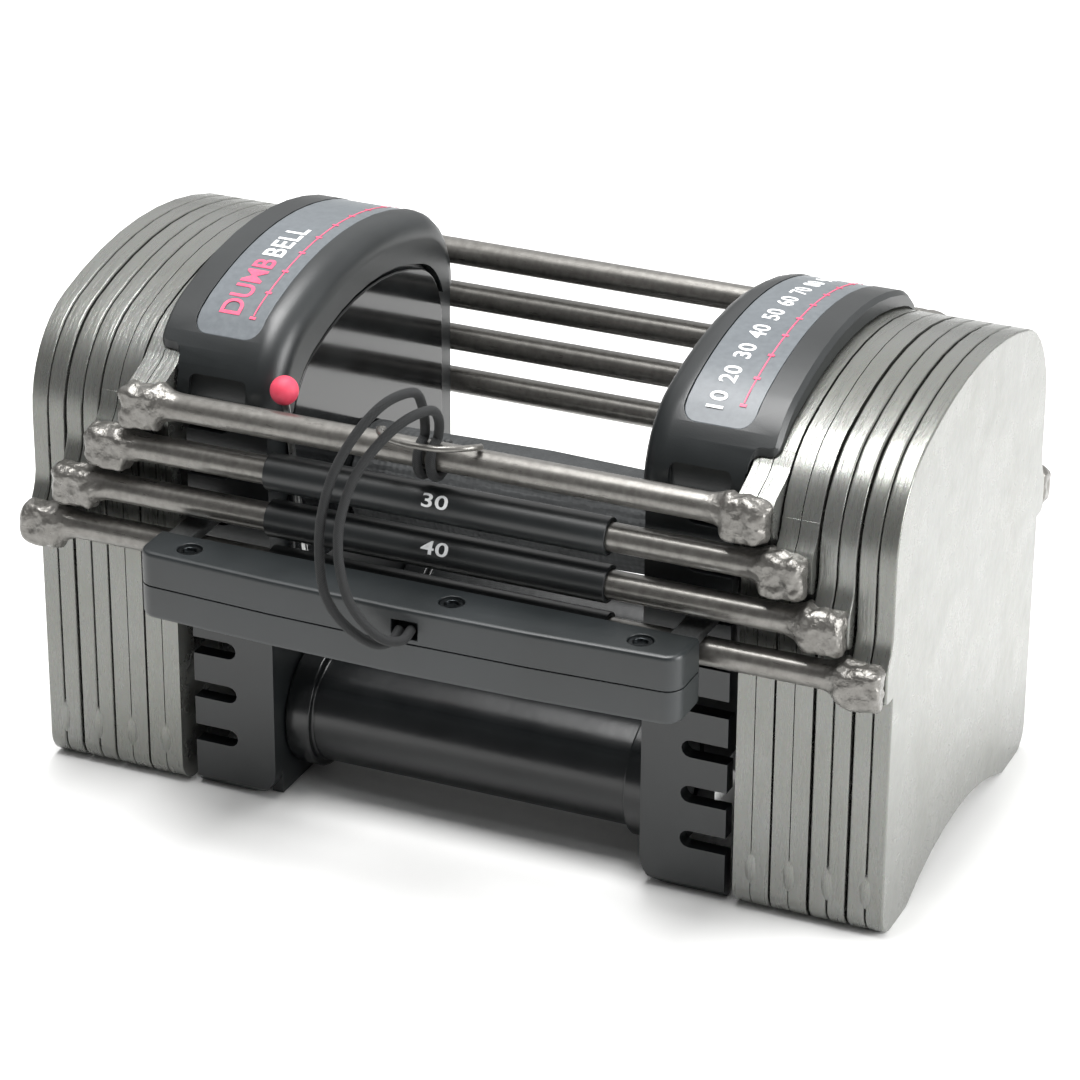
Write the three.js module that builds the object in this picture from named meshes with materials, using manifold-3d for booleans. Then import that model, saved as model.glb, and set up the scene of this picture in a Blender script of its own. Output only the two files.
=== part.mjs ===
// Adjustable dumbbell with four nested weight layers, a lift-out core and a two-tine selector pin.
// Millimetres, +Z up, X along the handle, -Y towards the selector pin. The origin is the centre of
// the footprint at floor level.
import * as THREE from 'three';
import { mergeVertices } from 'three/addons/utils/BufferGeometryUtils.js';
import Module from 'manifold-3d';

const wasm = await Module();
wasm.setup();

// ---- driving dimensions: the whole object ----
const LENGTH = 305; // over the outer faces of the outermost plates
const PLATE_TOP = 174; // height of the plate arch
const PLATE_HALF_WIDTH = 74; // half depth of a plate below its noses
const ARCH_HALF_WIDTH = 76; // half depth of a plate above its noses

// ---- plates ----
const LAYER_NAMES = ['20', '30', '40', '50'];
const PLATE = 6; // thickness of one plate
const PLATE_SEAM = 0.3; // hairline between the two plates of a pair
const LAYER_GAP = 0.8; // sliding gap between two nested layers
const PLATE_CROWN_RADIUS = 160;
const PLATE_SHOULDER_RADIUS = 36;
const PLATE_CORNER_RADIUS = 9; // bottom corners
const FOOT_HALF_GAP = 50; // half width of the shallow arch between the feet
const FOOT_ARCH_RISE = 11;
const NOSE_SHARE_GAP = 0.2; // underside of a nose below the middle of the gap between two rails
const NOSE_FLARE = 14; // a nose runs back into the plate edge this far above its rail
const NOSE_HOLLOW = 0.25; // how far out the hollow of the flare is pulled, as a share of the nose
const NOSE_CORNER = 2.5;
const NOSE_ROOT = 36; // half depth at which a nose is buried in its plate

// ---- rails that join the left and right plates of a layer ----
const RAIL_RADIUS = 4.75;
const RAIL_BELOW_TOP = 28; // centre of the top rail, on layer 20, below the top of the plates
const RAIL_PITCH = 16.6; // from one rail down to the next, and from slot to slot
const RAIL_CLEARANCE = 1.25; // between a rail and the plates that nest behind it
const RAIL_FLARE_CLEARANCE = 1.1; // between a flare and the middle of the gap above it
const RAIL_FLARE_LENGTH = 9;
const WELD_GAP = 0.3; // face-to-face gap between a welded rail end and its plates
const WELD_DEPTH = 8.2; // from the plate nose to the front of the weld
const WELD_ABOVE = 6; // top of the weld above the rail centre
const WELD_ROUNDING = 1.8;

// ---- sleeves, numbered clips on the front rails of layers 30, 40 and 50 ----
const SLEEVE_HALF_LENGTH = 60;
const SLEEVE_WALL = 1.4;
const SLEEVE_FIT = 0.15;
const SLEEVE_OPENING_DEGREES = 70;

// ---- core: slotted end frames ----
const NEST_GAP = 4; // between the core and the innermost plates
const FRAME_DEPTH = 30; // along X, from the slot mouths to the hand side
const FRAME_WEB = 4; // wall on the hand side
const COMB_WALL = 5.5; // slotted front and back walls
const FRAME_CORNER_RADIUS = 10;
const FRAME_FOOT_CHAMFER = 3;
const FRAME_NOTCH_HALF_WIDTH = 13.5; // notch in the hand-side wall, between the side tubes
const FRAME_NOTCH_TOP = 13;
const CORE_FOOT_CLEARANCE = 0.5; // the core stands this far above the floor in its nest
const SLOT_BELOW_MIDDLE = 1.1; // slot centres below the middle of the gap between two rails
const SLOT_COUNT = 8;
const SLOT_LENGTH = 16;

// ---- core: arched covers ----
const COVER_RISE = 7; // above the plates
const COVER_INSET = 4; // front and back faces behind those of the plates
const COVER_LIP_DEPTH = 1.2; // the cover stands this far in front of the combs
const FRAME_STEP = 4.8; // the combs step back by this much where they run up inside the cover
const FRAME_STEP_GAP = 0.5; // under the lips of the cover
const COVER_CROWN_RADIUS = 150;
const COVER_SHOULDER_RADIUS = 34;
const COVER_WALL = 4.5;
const COVER_FIT = 0.3;
const COVER_OVERHANG = 8; // over the innermost plates
const COVER_OVER_PLATES = 0.8; // height of the overhang above the plates
const COVER_FLANGE_INSET = 7; // the overhang stops this far short of the lips
const COVER_FLANGE_ABOVE_RAIL = 11.2; // and where the plates are still this far above the top rail
const COVER_NOTCH_HOLLOW = 3.5;
const COVER_PLATE_GAP = 0.7; // between the side of the cover and the innermost plates
const COVER_NOTCH_ROUNDING = 3.5;
const COVER_LIP_DROP = 6; // bottom edge of the lips below the top rail
const COVER_ROUNDING = 9; // big rounded shoulder on the hand side
const COVER_EDGE = 1.5; // small edge rounding on the plate side
const COVER_HAND_WALL = 3; // wall on the hand side, in front of the frame
const PLAQUE_HALF_WIDTH = 62;
const PLAQUE_CORNER_RADIUS = 5;
const PLAQUE_DEPTH = 24; // along X
const PLAQUE_MARGIN = 10.5; // from the outer edge of the cover
const PLAQUE_THICKNESS = 1;
const PLAQUE_FIT = 0.2;
const POCKET_WIDTH = 21;
const POCKET_HEIGHT = 9.5;
const POCKET_ASIDE = 3; // towards the plates, from the middle of the frame
const POCKET_DEPTH = 3;
const POCKET_ABOVE_LIP = 3.5;

// ---- core: inner panels, handle and side tubes ----
const PANEL_THICKNESS = 2.6;
const PANEL_INSET = 12.8; // inside the front and back of the frame
const PANEL_DROP = 18; // below the top of the cover
const PANEL_CROWN_RADIUS = 110;
const PANEL_SHOULDER_RADIUS = 26;
const PANEL_BOTTOM = 78;
const PANEL_GROOVE = 1.6; // between the panel and the hand wall of the cover
const CONTACT_GAP = 0.3; // face-to-face gap of fixed neighbours
const HANDLE_Z = 95;
const HANDLE_RADIUS = 11;
const GRIP_RADIUS = 17;
const GRIP_WALL_GAP = 0.3;
const GRIP_RIDGE = 1.2; // ends and middle of the grip stand this proud
const GRIP_END_BAND = 4;
const GRIP_TAPER = 3;
const TUBE_Y = 42;
const TUBE_Z = 26;
const TUBE_RADIUS = 19.5;
const TUBE_WALL = 1.8;
const TUBE_COLLAR_RADIUS = 22;
const TUBE_COLLAR_LENGTH = 9;
const ADDER_FIT = 0.4;
const ADDER_END_CLEARANCE = 1;

// ---- lock levers ----
const LEVER_PIVOT_Y = 57;
const LEVER_PIVOT_Z = 64;
const LEVER_WIRE_RADIUS = 1.2;
const LEVER_EYE_RADIUS = 3.6;
const LEVER_PLANE = 8.5; // from the face of the frame to the centre of the wire
const LEVER_TAIL = 6;
const LEVER_PIN_CLEARANCE = 0.4;
const STUD_HEAD_RADIUS = 4.6;
const STUD_HEAD_LENGTH = 1.6;
const BALL_RADIUS = 5;
const BALL_AHEAD = 2; // in front of the lip of the cover
const BALL_ABOVE_RAIL = 9;
const BALL_SOCKET_DEPTH = 3;

// ---- selector pin ----
const PIN_LAYER = 2; // index of the layer whose rail the tines sit under: layer 40
const PIN_STANDOFF = 6.2; // from the front of the rails to the back of the bar
const BAR_END_WALL = 1.6; // plastic past the tine at each end of the bar
const BAR_DEPTH = 18;
const BAR_BULGE = 3; // the front face bows out by this much in the middle
const BAR_CORNER_RADIUS = 6;
const BAR_ABOVE_TINE = 3.25; // top of the bar above the centre of the tines
const BAR_HEIGHT = 24;
const BAR_SEAM_BELOW_TINE = 8.9; // parting plane of the two halves below the tine centre
const BAR_SEAM_GAP = 0.3;
const BAR_BEVEL = 1.8;
const TINE_WIDTH = 9;
const TINE_RAIL_CLEARANCE = 1.8; // between a tine in the middle of its gap and the rails
const TINE_SLOT_CLEARANCE = 1.3; // above and below a tine in its slot
const TINE_FIT = 0.3;
const TINE_SETBACK = 6; // from the front of the bar to the root of the tine
const TINE_OVERREACH = 4; // past the back comb
const SCREW_BESIDE_TINE = 9.7; // between the centres of an end screw and its tine
const SCREW_HEAD_RADIUS = 4;
const SCREW_MIDDLE_X = 14.5; // the middle screw stands aside from the cord hole
const SCREW_HEAD_HEIGHT = 2;
const SCREW_SHANK_RADIUS = 1.6;
const SCREW_FIT = 0.3;
const SCREW_RECESS = 0.6;
const SCREW_DEPTH = 18;
const SCREW_SET_IN = 10; // from the back of the bar
const CORD_HOLE_X = 3;
const CORD_HOLE_WIDTH = 9;
const CORD_HOLE_HEIGHT = 6;
const CORD_HOLE_DEPTH = 7;
const CORD_HOLE_Z = 99.4;

// ---- tether cord and its keeper ----
const CORD_RADIUS = 1.6;
const CORD_SIDES = 8;
const CORD_SPACING = 4.6; // between the two strands
const CORD_WRAP_X = -4;
const CORD_WRAP_GAP = 0.4;
const CORD_WRAP_START = 100; // degrees round the rail, 90 being over its top and 180 its front
const CORD_WRAP_END = 380;
const CORD_WRAP_STEP = 28;
const CORD_STEPS = 44;
const KEEPER_WIRE_RADIUS = 1.1;
const KEEPER_HALF_SPAN = 17;
const KEEPER_RISE = 2.5;
const KEEPER_LEAN = 12;
const KEEPER_FOOT_GAP = 1.1; // under the welded feet of the keeper
const KEEPER_X = -2;

// ---- sizes worked out from the values above ----
const PAIR = 2 * PLATE + PLATE_SEAM;
const LAYER_PITCH = PAIR + LAYER_GAP;
const OUTER_FACE = LENGTH / 2;
const INNERMOST_FACE = OUTER_FACE - LAYER_NAMES.length * LAYER_PITCH + LAYER_GAP;
const RAIL_Y = ARCH_HALF_WIDTH + RAIL_CLEARANCE + RAIL_RADIUS;
const NOSE_TIP = RAIL_Y - 2;
const WELD_FRONT = NOSE_TIP + WELD_GAP + WELD_DEPTH;
const FRAME_OUTER = INNERMOST_FACE - NEST_GAP;
const FRAME_INNER = FRAME_OUTER - FRAME_DEPTH;
const PANEL_FACE = FRAME_INNER - CONTACT_GAP - PANEL_THICKNESS;
const TUBE_END = FRAME_INNER - CONTACT_GAP;
const COVER_INNER = FRAME_INNER - CONTACT_GAP - COVER_HAND_WALL;
const COVER_OUTER = FRAME_OUTER + NEST_GAP + COVER_OVERHANG;
const HALF_PITCH = RAIL_PITCH / 2;
const NOSE_DROP = HALF_PITCH + NOSE_SHARE_GAP;
const RAIL_FLARE_RADIUS = HALF_PITCH - RAIL_FLARE_CLEARANCE;
const RAIL_TOP_Z = PLATE_TOP - RAIL_BELOW_TOP;
const TINE_THICKNESS = RAIL_PITCH - 2 * RAIL_RADIUS - 2 * TINE_RAIL_CLEARANCE;
const SLOT_HEIGHT = TINE_THICKNESS + 2 * TINE_SLOT_CLEARANCE;
const COVER_TOP = PLATE_TOP + COVER_RISE;
const COVER_HALF_WIDTH = ARCH_HALF_WIDTH - COVER_INSET;
const COVER_FLANGE_HALF_WIDTH = COVER_HALF_WIDTH - COVER_FLANGE_INSET;
const COVER_LIP_Z = RAIL_TOP_Z - COVER_LIP_DROP;
const FRAME_HALF_WIDTH = COVER_HALF_WIDTH - COVER_LIP_DEPTH;
const PANEL_HALF_WIDTH = FRAME_HALF_WIDTH - PANEL_INSET;
const PANEL_TOP = COVER_TOP - PANEL_DROP;
const BALL_Y = COVER_HALF_WIDTH + BALL_AHEAD;
const BALL_Z = RAIL_TOP_Z + BALL_ABOVE_RAIL;
const railZ = (layer) => RAIL_TOP_Z - layer * RAIL_PITCH;
const slotZ = (slot) => RAIL_TOP_Z - (slot + 0.5) * RAIL_PITCH - SLOT_BELOW_MIDDLE;
const TINE_Z = slotZ(PIN_LAYER);
const TINE_X = FRAME_OUTER - SLOT_LENGTH / 2;
const SCREW_X = TINE_X - SCREW_BESIDE_TINE;
const BAR_HALF_LENGTH = TINE_X + TINE_WIDTH / 2 + BAR_END_WALL;
const BAR_BACK = RAIL_Y + RAIL_RADIUS + PIN_STANDOFF;
const BAR_FRONT = BAR_BACK + BAR_DEPTH;
const BAR_TOP_Z = TINE_Z + BAR_ABOVE_TINE;
const BAR_SEAM_Z = TINE_Z - BAR_SEAM_BELOW_TINE;
const BODY_SHIFT_Y = (BAR_FRONT + BAR_BULGE - WELD_FRONT) / 2;

// ---- colours and finishes ----
const FINISHES = {
  plate: { color: 0x8d8d8b, roughness: 0.42, metalness: 0.85 },
  rail: { color: 0x85837f, roughness: 0.38, metalness: 0.85 },
  steel: { color: 0xb9bbbc, roughness: 0.3, metalness: 0.95 },
  moulding: { color: 0x3a3c3e, roughness: 0.55, metalness: 0 },
  gloss: { color: 0x101112, roughness: 0.08, metalness: 0 },
  plaque: { color: 0x6f7478, roughness: 0.4, metalness: 0.1 },
  rubber: { color: 0x3c3e40, roughness: 0.8, metalness: 0 },
  ball: { color: 0xe8566a, roughness: 0.6, metalness: 0 },
  cord: { color: 0x232527, roughness: 0.85, metalness: 0 },
};

// ---- small geometry helpers ----

const AXES = {
  x: new THREE.Matrix4().makeBasis(
    new THREE.Vector3(0, 1, 0), new THREE.Vector3(0, 0, 1), new THREE.Vector3(1, 0, 0)),
  y: new THREE.Matrix4().makeBasis(
    new THREE.Vector3(1, 0, 0), new THREE.Vector3(0, 0, 1), new THREE.Vector3(0, -1, 0)),
  z: new THREE.Matrix4(),
};

// A shape drawn in (Y, Z) and extruded along +X, in (X, Z) along -Y, or in (X, Y) along +Z.
function extrude(shape, axis, start, depth, options = {}) {
  const settings = { depth, bevelEnabled: false, curveSegments: 4, ...options };
  const geometry = new THREE.ExtrudeGeometry(shape, settings);
  geometry.translate(0, 0, start);
  return geometry.applyMatrix4(AXES[axis]);
}

// The same with both ends rounded inside the given length.
function extrudeRounded(shape, axis, start, depth, rounding, segments = 2) {
  return extrude(shape, axis, start + rounding, depth - 2 * rounding, {
    bevelEnabled: true,
    bevelThickness: rounding,
    bevelSize: rounding,
    bevelOffset: -rounding,
    bevelSegments: segments,
  });
}

function box(x0, x1, y0, y1, z0, z1) {
  const geometry = new THREE.BoxGeometry(x1 - x0, y1 - y0, z1 - z0);
  return geometry.translate((x0 + x1) / 2, (y0 + y1) / 2, (z0 + z1) / 2);
}

function cylinderX(radius, x0, x1, y, z, sides = 24) {
  const geometry = new THREE.CylinderGeometry(radius, radius, x1 - x0, sides);
  return geometry.rotateZ(-Math.PI / 2).translate((x0 + x1) / 2, y, z);
}

function cylinderZ(radius, x, y, z0, z1, sides = 16) {
  const geometry = new THREE.CylinderGeometry(radius, radius, z1 - z0, sides);
  return geometry.rotateX(Math.PI / 2).translate(x, y, (z0 + z1) / 2);
}

// A profile of [distance from the axis, position along X] turned about the X axis at (y, z).
function turnedX(profile, y, z, sides = 24) {
  const points = profile.map(([radius, along]) => new THREE.Vector2(radius, along));
  const geometry = new THREE.LatheGeometry(points, sides);
  return geometry.rotateZ(-Math.PI / 2).translate(0, y, z);
}

function solid(geometry) {
  const bare = geometry.clone();
  bare.deleteAttribute('normal');
  bare.deleteAttribute('uv');
  const merged = mergeVertices(bare, 1e-4);
  const corners = merged.index.array;
  const triVerts = [];
  for (let i = 0; i < corners.length; i += 3) {
    const [a, b, c] = corners.slice(i, i + 3);
    if (a !== b && b !== c && c !== a) triVerts.push(a, b, c);
  }
  const mesh = new wasm.Mesh({
    numProp: 3,
    vertProperties: new Float32Array(merged.attributes.position.array),
    triVerts: new Uint32Array(triVerts),
  });
  return new wasm.Manifold(mesh);
}

function geometryOf(body) {
  const mesh = body.getMesh();
  const geometry = new THREE.BufferGeometry();
  geometry.setAttribute('position', new THREE.BufferAttribute(mesh.vertProperties, 3));
  geometry.setIndex(new THREE.BufferAttribute(mesh.triVerts, 1));
  geometry.computeVertexNormals();
  return geometry;
}

const join = (first, ...rest) => rest.reduce((sum, next) => sum.add(solid(next)), solid(first));

function cut(body, ...tools) {
  return tools.reduce((rest, tool) => rest.subtract(solid(tool)), body);
}

const finishCache = new Map();

function finish(name) {
  if (!finishCache.has(name)) {
    finishCache.set(name, new THREE.MeshStandardMaterial(FINISHES[name]));
  }
  return finishCache.get(name);
}

const model = new THREE.Group();
model.position.y = BODY_SHIFT_Y;

function addPiece(name, geometry, finishName) {
  const mesh = new THREE.Mesh(geometry, finish(finishName));
  mesh.name = name;
  model.add(mesh);
}

// Left is -X and right is +X; a piece drawn on the right is mirrored by turning it half round about Z.
const SIDES = [
  { name: 'left', sign: -1 },
  { name: 'right', sign: 1 },
];

// ---- outlines ----

// Side view of an arch: a flat-ish crown that blends into two tighter shoulders.
function archCentres({ halfWidth, top, crown, shoulder }) {
  const shoulderY = halfWidth - shoulder;
  const reach = crown - shoulder;
  const rise = Math.sqrt(reach * reach - shoulderY * shoulderY);
  return {
    shoulderY,
    shoulderZ: top - crown + rise,
    crownZ: top - crown,
    tangent: Math.atan2(rise, shoulderY),
  };
}

// Traces an arch from its +Y side to its -Y side, from the given height up.
function traceArch(shape, arch, fromZ = -Infinity) {
  const { shoulderY, shoulderZ, crownZ, tangent } = archCentres(arch);
  const start = fromZ > shoulderZ ? Math.asin((fromZ - shoulderZ) / arch.shoulder) : 0;
  shape.absarc(shoulderY, shoulderZ, arch.shoulder, start, tangent, false);
  shape.absarc(0, crownZ, arch.crown, tangent, Math.PI - tangent, false);
  shape.absarc(-shoulderY, shoulderZ, arch.shoulder, Math.PI - tangent, Math.PI - start, false);
}

function archShape(arch, bottom) {
  const shape = new THREE.Shape();
  shape.moveTo(-archHalfWidthAt(arch, bottom), bottom);
  shape.lineTo(archHalfWidthAt(arch, bottom), bottom);
  traceArch(shape, arch, bottom);
  return shape;
}

const insetArch = (arch, inset) => ({
  halfWidth: arch.halfWidth - inset,
  top: arch.top - inset,
  crown: arch.crown - inset,
  shoulder: arch.shoulder - inset,
});

const PLATE_ARCH = {
  halfWidth: ARCH_HALF_WIDTH,
  top: PLATE_TOP,
  crown: PLATE_CROWN_RADIUS,
  shoulder: PLATE_SHOULDER_RADIUS,
};

const COVER_ARCH = {
  halfWidth: COVER_HALF_WIDTH,
  top: COVER_TOP,
  crown: COVER_CROWN_RADIUS,
  shoulder: COVER_SHOULDER_RADIUS,
};

const PANEL_ARCH = {
  halfWidth: PANEL_HALF_WIDTH,
  top: PANEL_TOP,
  crown: PANEL_CROWN_RADIUS,
  shoulder: PANEL_SHOULDER_RADIUS,
};

// Half depth of an arch at a height.
function archHalfWidthAt(arch, z) {
  const { shoulderY, shoulderZ, crownZ, tangent } = archCentres(arch);
  if (z <= shoulderZ) return arch.halfWidth;
  const tangentZ = crownZ + arch.crown * Math.sin(tangent);
  if (z <= tangentZ) return shoulderY + Math.sqrt(arch.shoulder ** 2 - (z - shoulderZ) ** 2);
  return Math.sqrt(Math.max(arch.crown ** 2 - (z - crownZ) ** 2, 0));
}

// ---- weight layers ----

function plateShape(noseUnder) {
  const shelfZ = Math.min(noseUnder, archCentres(PLATE_ARCH).shoulderZ - 1);
  const footRadius = (FOOT_HALF_GAP ** 2 + FOOT_ARCH_RISE ** 2) / (2 * FOOT_ARCH_RISE);
  const footAngle = Math.asin(FOOT_HALF_GAP / footRadius);
  const corner = PLATE_CORNER_RADIUS;
  const shape = new THREE.Shape();
  shape.moveTo(PLATE_HALF_WIDTH - corner, 0);
  shape.absarc(PLATE_HALF_WIDTH - corner, corner, corner, -Math.PI / 2, 0, false);
  shape.lineTo(PLATE_HALF_WIDTH, shelfZ);
  shape.lineTo(ARCH_HALF_WIDTH, shelfZ);
  traceArch(shape, PLATE_ARCH, shelfZ);
  shape.lineTo(-ARCH_HALF_WIDTH, shelfZ);
  shape.lineTo(-PLATE_HALF_WIDTH, shelfZ);
  shape.absarc(corner - PLATE_HALF_WIDTH, corner, corner, Math.PI, 1.5 * Math.PI, false);
  shape.lineTo(-FOOT_HALF_GAP, 0);
  const centreZ = FOOT_ARCH_RISE - footRadius;
  shape.absarc(0, centreZ, footRadius, Math.PI / 2 + footAngle, Math.PI / 2 - footAngle, true);
  return shape;
}

// The nose that carries a rail: flat underneath, hollow flare above.
function noseShape(z, side) {
  const top = z + NOSE_FLARE;
  const blend = archHalfWidthAt(PLATE_ARCH, top);
  const under = z - NOSE_DROP;
  const point = (y, height) => [side * y, height];
  const shape = new THREE.Shape();
  shape.moveTo(...point(NOSE_ROOT, under));
  shape.lineTo(...point(NOSE_TIP - NOSE_CORNER, under));
  shape.quadraticCurveTo(...point(NOSE_TIP, under), ...point(NOSE_TIP, under + NOSE_CORNER));
  const hollow = z + WELD_ABOVE;
  const inner = blend + NOSE_HOLLOW * (NOSE_TIP - blend);
  shape.lineTo(...point(NOSE_TIP, z + NOSE_CORNER));
  shape.bezierCurveTo(...point(NOSE_TIP, hollow), ...point(inner, hollow), ...point(blend, top));
  shape.lineTo(...point(NOSE_ROOT, top));
  return shape;
}

function addPlates(layer) {
  const z = railZ(layer);
  const pairInner = INNERMOST_FACE + layer * LAYER_PITCH;
  for (const side of SIDES) {
    for (const [index, which] of ['inner', 'outer'].entries()) {
      const near = pairInner + index * (PLATE + PLATE_SEAM);
      const start = side.sign > 0 ? near : -near - PLATE;
      const body = join(
        extrude(plateShape(z - NOSE_DROP), 'x', start, PLATE),
        extrude(noseShape(z, 1), 'x', start, PLATE, { curveSegments: 5 }),
        extrude(noseShape(z, -1), 'x', start, PLATE, { curveSegments: 5 }),
      );
      addPiece(`plate_${LAYER_NAMES[layer]}_${side.name}_${which}`, geometryOf(body), 'plate');
    }
  }
}

// The weld that caps the noses of a pair, drawn for the +Y side.
function weldShape(z, side) {
  const back = NOSE_TIP + WELD_GAP;
  const under = z - NOSE_DROP;
  const over = z + WELD_ABOVE;
  const round = WELD_DEPTH / 2;
  const shape = new THREE.Shape();
  shape.moveTo(side * back, under);
  shape.lineTo(side * (WELD_FRONT - round), under);
  shape.quadraticCurveTo(side * WELD_FRONT, under, side * WELD_FRONT, under + round);
  shape.lineTo(side * WELD_FRONT, over - round);
  shape.quadraticCurveTo(side * WELD_FRONT, over, side * (WELD_FRONT - round), over);
  shape.lineTo(side * back, over);
  return shape;
}

function railBody(layer, side) {
  const z = railZ(layer);
  const pairInner = INNERMOST_FACE + layer * LAYER_PITCH;
  const end = pairInner - WELD_GAP;
  const straight = end - RAIL_FLARE_LENGTH;
  const profile = [[0, -end], [RAIL_FLARE_RADIUS, -end]];
  profile.push([RAIL_RADIUS + 0.6, -straight - 3]);
  profile.push([RAIL_RADIUS, -straight], [RAIL_RADIUS, straight]);
  profile.push([RAIL_RADIUS + 0.6, straight + 3]);
  profile.push([RAIL_FLARE_RADIUS, end], [0, end]);
  const behindRail = RAIL_Y - RAIL_RADIUS;
  const far = [-side * behindRail, -side * (behindRail - 2 * RAIL_FLARE_RADIUS)];
  const clip = box(-LENGTH, LENGTH, Math.min(-far[0], -far[1]), Math.max(-far[0], -far[1]),
    z - 2 * RAIL_FLARE_RADIUS, z + 2 * RAIL_FLARE_RADIUS);
  const rod = cut(solid(turnedX(profile, side * RAIL_Y, z, 12)), clip);
  const weldStart = pairInner - RAIL_FLARE_LENGTH / 3;
  const weldLength = pairInner + PAIR - weldStart;
  const rightWeld = extrudeRounded(weldShape(z, side), 'x', weldStart, weldLength, WELD_ROUNDING, 1);
  const leftWeld = extrudeRounded(weldShape(z, side), 'x', -weldStart - weldLength, weldLength,
    WELD_ROUNDING, 1);
  return rod.add(solid(rightWeld)).add(solid(leftWeld));
}

function addRails(layer) {
  const name = LAYER_NAMES[layer];
  addPiece(`rail_${name}_front`, geometryOf(railBody(layer, -1)), 'rail');
  addPiece(`rail_${name}_back`, geometryOf(railBody(layer, 1)), 'rail');
}

// A clip-on sleeve, open along the side that faces the core.
function addSleeve(layer) {
  const inner = RAIL_RADIUS + SLEEVE_FIT;
  const outer = inner + SLEEVE_WALL;
  const half = THREE.MathUtils.degToRad(SLEEVE_OPENING_DEGREES / 2);
  const shape = new THREE.Shape();
  shape.absarc(0, 0, outer, half, 2 * Math.PI - half, false);
  shape.absarc(0, 0, inner, 2 * Math.PI - half, half, true);
  const length = 2 * SLEEVE_HALF_LENGTH;
  const geometry = extrude(shape, 'x', -SLEEVE_HALF_LENGTH, length, { curveSegments: 9 });
  geometry.translate(0, -RAIL_Y, railZ(layer));
  addPiece(`sleeve_${LAYER_NAMES[layer]}`, geometry, 'moulding');
}

// ---- tubes along a path ----

function tubeAlong(points, radius, sides, steps) {
  const section = new THREE.Shape();
  for (let i = 0; i < sides; i += 1) {
    const angle = (2 * Math.PI * i) / sides;
    const x = radius * Math.cos(angle);
    const y = radius * Math.sin(angle);
    if (i === 0) section.moveTo(x, y);
    else section.lineTo(x, y);
  }
  const path = new THREE.CatmullRomCurve3(points.map((p) => new THREE.Vector3(...p)));
  return new THREE.ExtrudeGeometry(section, { steps, extrudePath: path, bevelEnabled: false });
}

// ---- core ----

function frameBody() {
  const arch = insetArch(COVER_ARCH, COVER_WALL + COVER_FIT);
  const bottom = CORE_FOOT_CLEARANCE;
  const outline = new THREE.Shape();
  const half = FRAME_HALF_WIDTH;
  outline.moveTo(half - FRAME_FOOT_CHAMFER, bottom);
  outline.lineTo(half, bottom + FRAME_FOOT_CHAMFER);
  const upperHalf = half - FRAME_STEP;
  const stepZ = COVER_LIP_Z - FRAME_STEP_GAP;
  const upperShoulder = arch.shoulder + upperHalf - arch.halfWidth;
  outline.lineTo(half, stepZ);
  outline.lineTo(upperHalf, stepZ);
  traceArch(outline, { ...arch, halfWidth: upperHalf, shoulder: upperShoulder }, stepZ);
  outline.lineTo(-upperHalf, stepZ);
  outline.lineTo(-half, stepZ);
  outline.lineTo(-half, bottom + FRAME_FOOT_CHAMFER);
  outline.lineTo(FRAME_FOOT_CHAMFER - half, bottom);
  let body = solid(extrude(outline, 'x', FRAME_INNER, FRAME_DEPTH));
  const roomTop = arch.top - COMB_WALL - FRAME_WEB;
  const roomArch = {
    halfWidth: upperHalf - COMB_WALL,
    top: roomTop,
    crown: arch.crown,
    shoulder: arch.shoulder - COMB_WALL,
  };
  const room = extrude(archShape(roomArch, bottom - 1), 'x', FRAME_INNER + FRAME_WEB, FRAME_DEPTH);
  const roomHalf = half - COMB_WALL;
  const lowRoom = box(FRAME_INNER + FRAME_WEB, FRAME_OUTER + 1, -roomHalf, roomHalf, -1,
    stepZ - COMB_WALL);
  body = cut(body, room, lowRoom);
  const notch = FRAME_NOTCH_HALF_WIDTH;
  body = cut(body, box(FRAME_INNER - 1, FRAME_OUTER, -notch, notch, -1, FRAME_NOTCH_TOP));
  for (let slot = 0; slot < SLOT_COUNT; slot += 1) {
    body = cut(body, slotCutter(slotZ(slot)));
  }
  const radius = HANDLE_RADIUS + CONTACT_GAP;
  body = cut(body, cylinderX(radius, FRAME_INNER - 1, FRAME_INNER + FRAME_WEB + 1, 0, HANDLE_Z));
  for (const side of [-1, 1]) {
    const bore = TUBE_RADIUS - TUBE_WALL;
    const reach = FRAME_INNER + FRAME_WEB + 1;
    body = cut(body, cylinderX(bore, FRAME_INNER - 1, reach, side * TUBE_Y, TUBE_Z));
    body = cut(body, cornerCutter(side, bottom));
  }
  return body;
}

// One slot through the front and back combs, open towards the plates, with a round inner end.
function slotCutter(z) {
  const radius = SLOT_HEIGHT / 2;
  const inner = FRAME_OUTER - SLOT_LENGTH + radius;
  const shape = new THREE.Shape();
  shape.moveTo(FRAME_OUTER + 1, z - radius);
  shape.lineTo(FRAME_OUTER + 1, z + radius);
  shape.absarc(inner, z, radius, Math.PI / 2, 1.5 * Math.PI, false);
  const depth = 2 * FRAME_HALF_WIDTH + 2;
  return extrude(shape, 'y', -FRAME_HALF_WIDTH - 1, depth, { curveSegments: 3 });
}

// Rounds the bottom corner of a leg on the hand side.
function cornerCutter(side, bottom) {
  const radius = FRAME_CORNER_RADIUS;
  const shape = new THREE.Shape();
  shape.moveTo(FRAME_INNER - 1, bottom - 1);
  shape.lineTo(FRAME_INNER + radius, bottom - 1);
  shape.lineTo(FRAME_INNER + radius, bottom);
  shape.absarc(FRAME_INNER + radius, bottom + radius, radius, 1.5 * Math.PI, Math.PI, true);
  shape.lineTo(FRAME_INNER - 1, bottom + radius);
  const depth = COMB_WALL + 1;
  const start = side > 0 ? -FRAME_HALF_WIDTH - 1 : FRAME_HALF_WIDTH - COMB_WALL;
  return extrude(shape, 'y', start, depth, { curveSegments: 3 });
}

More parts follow.
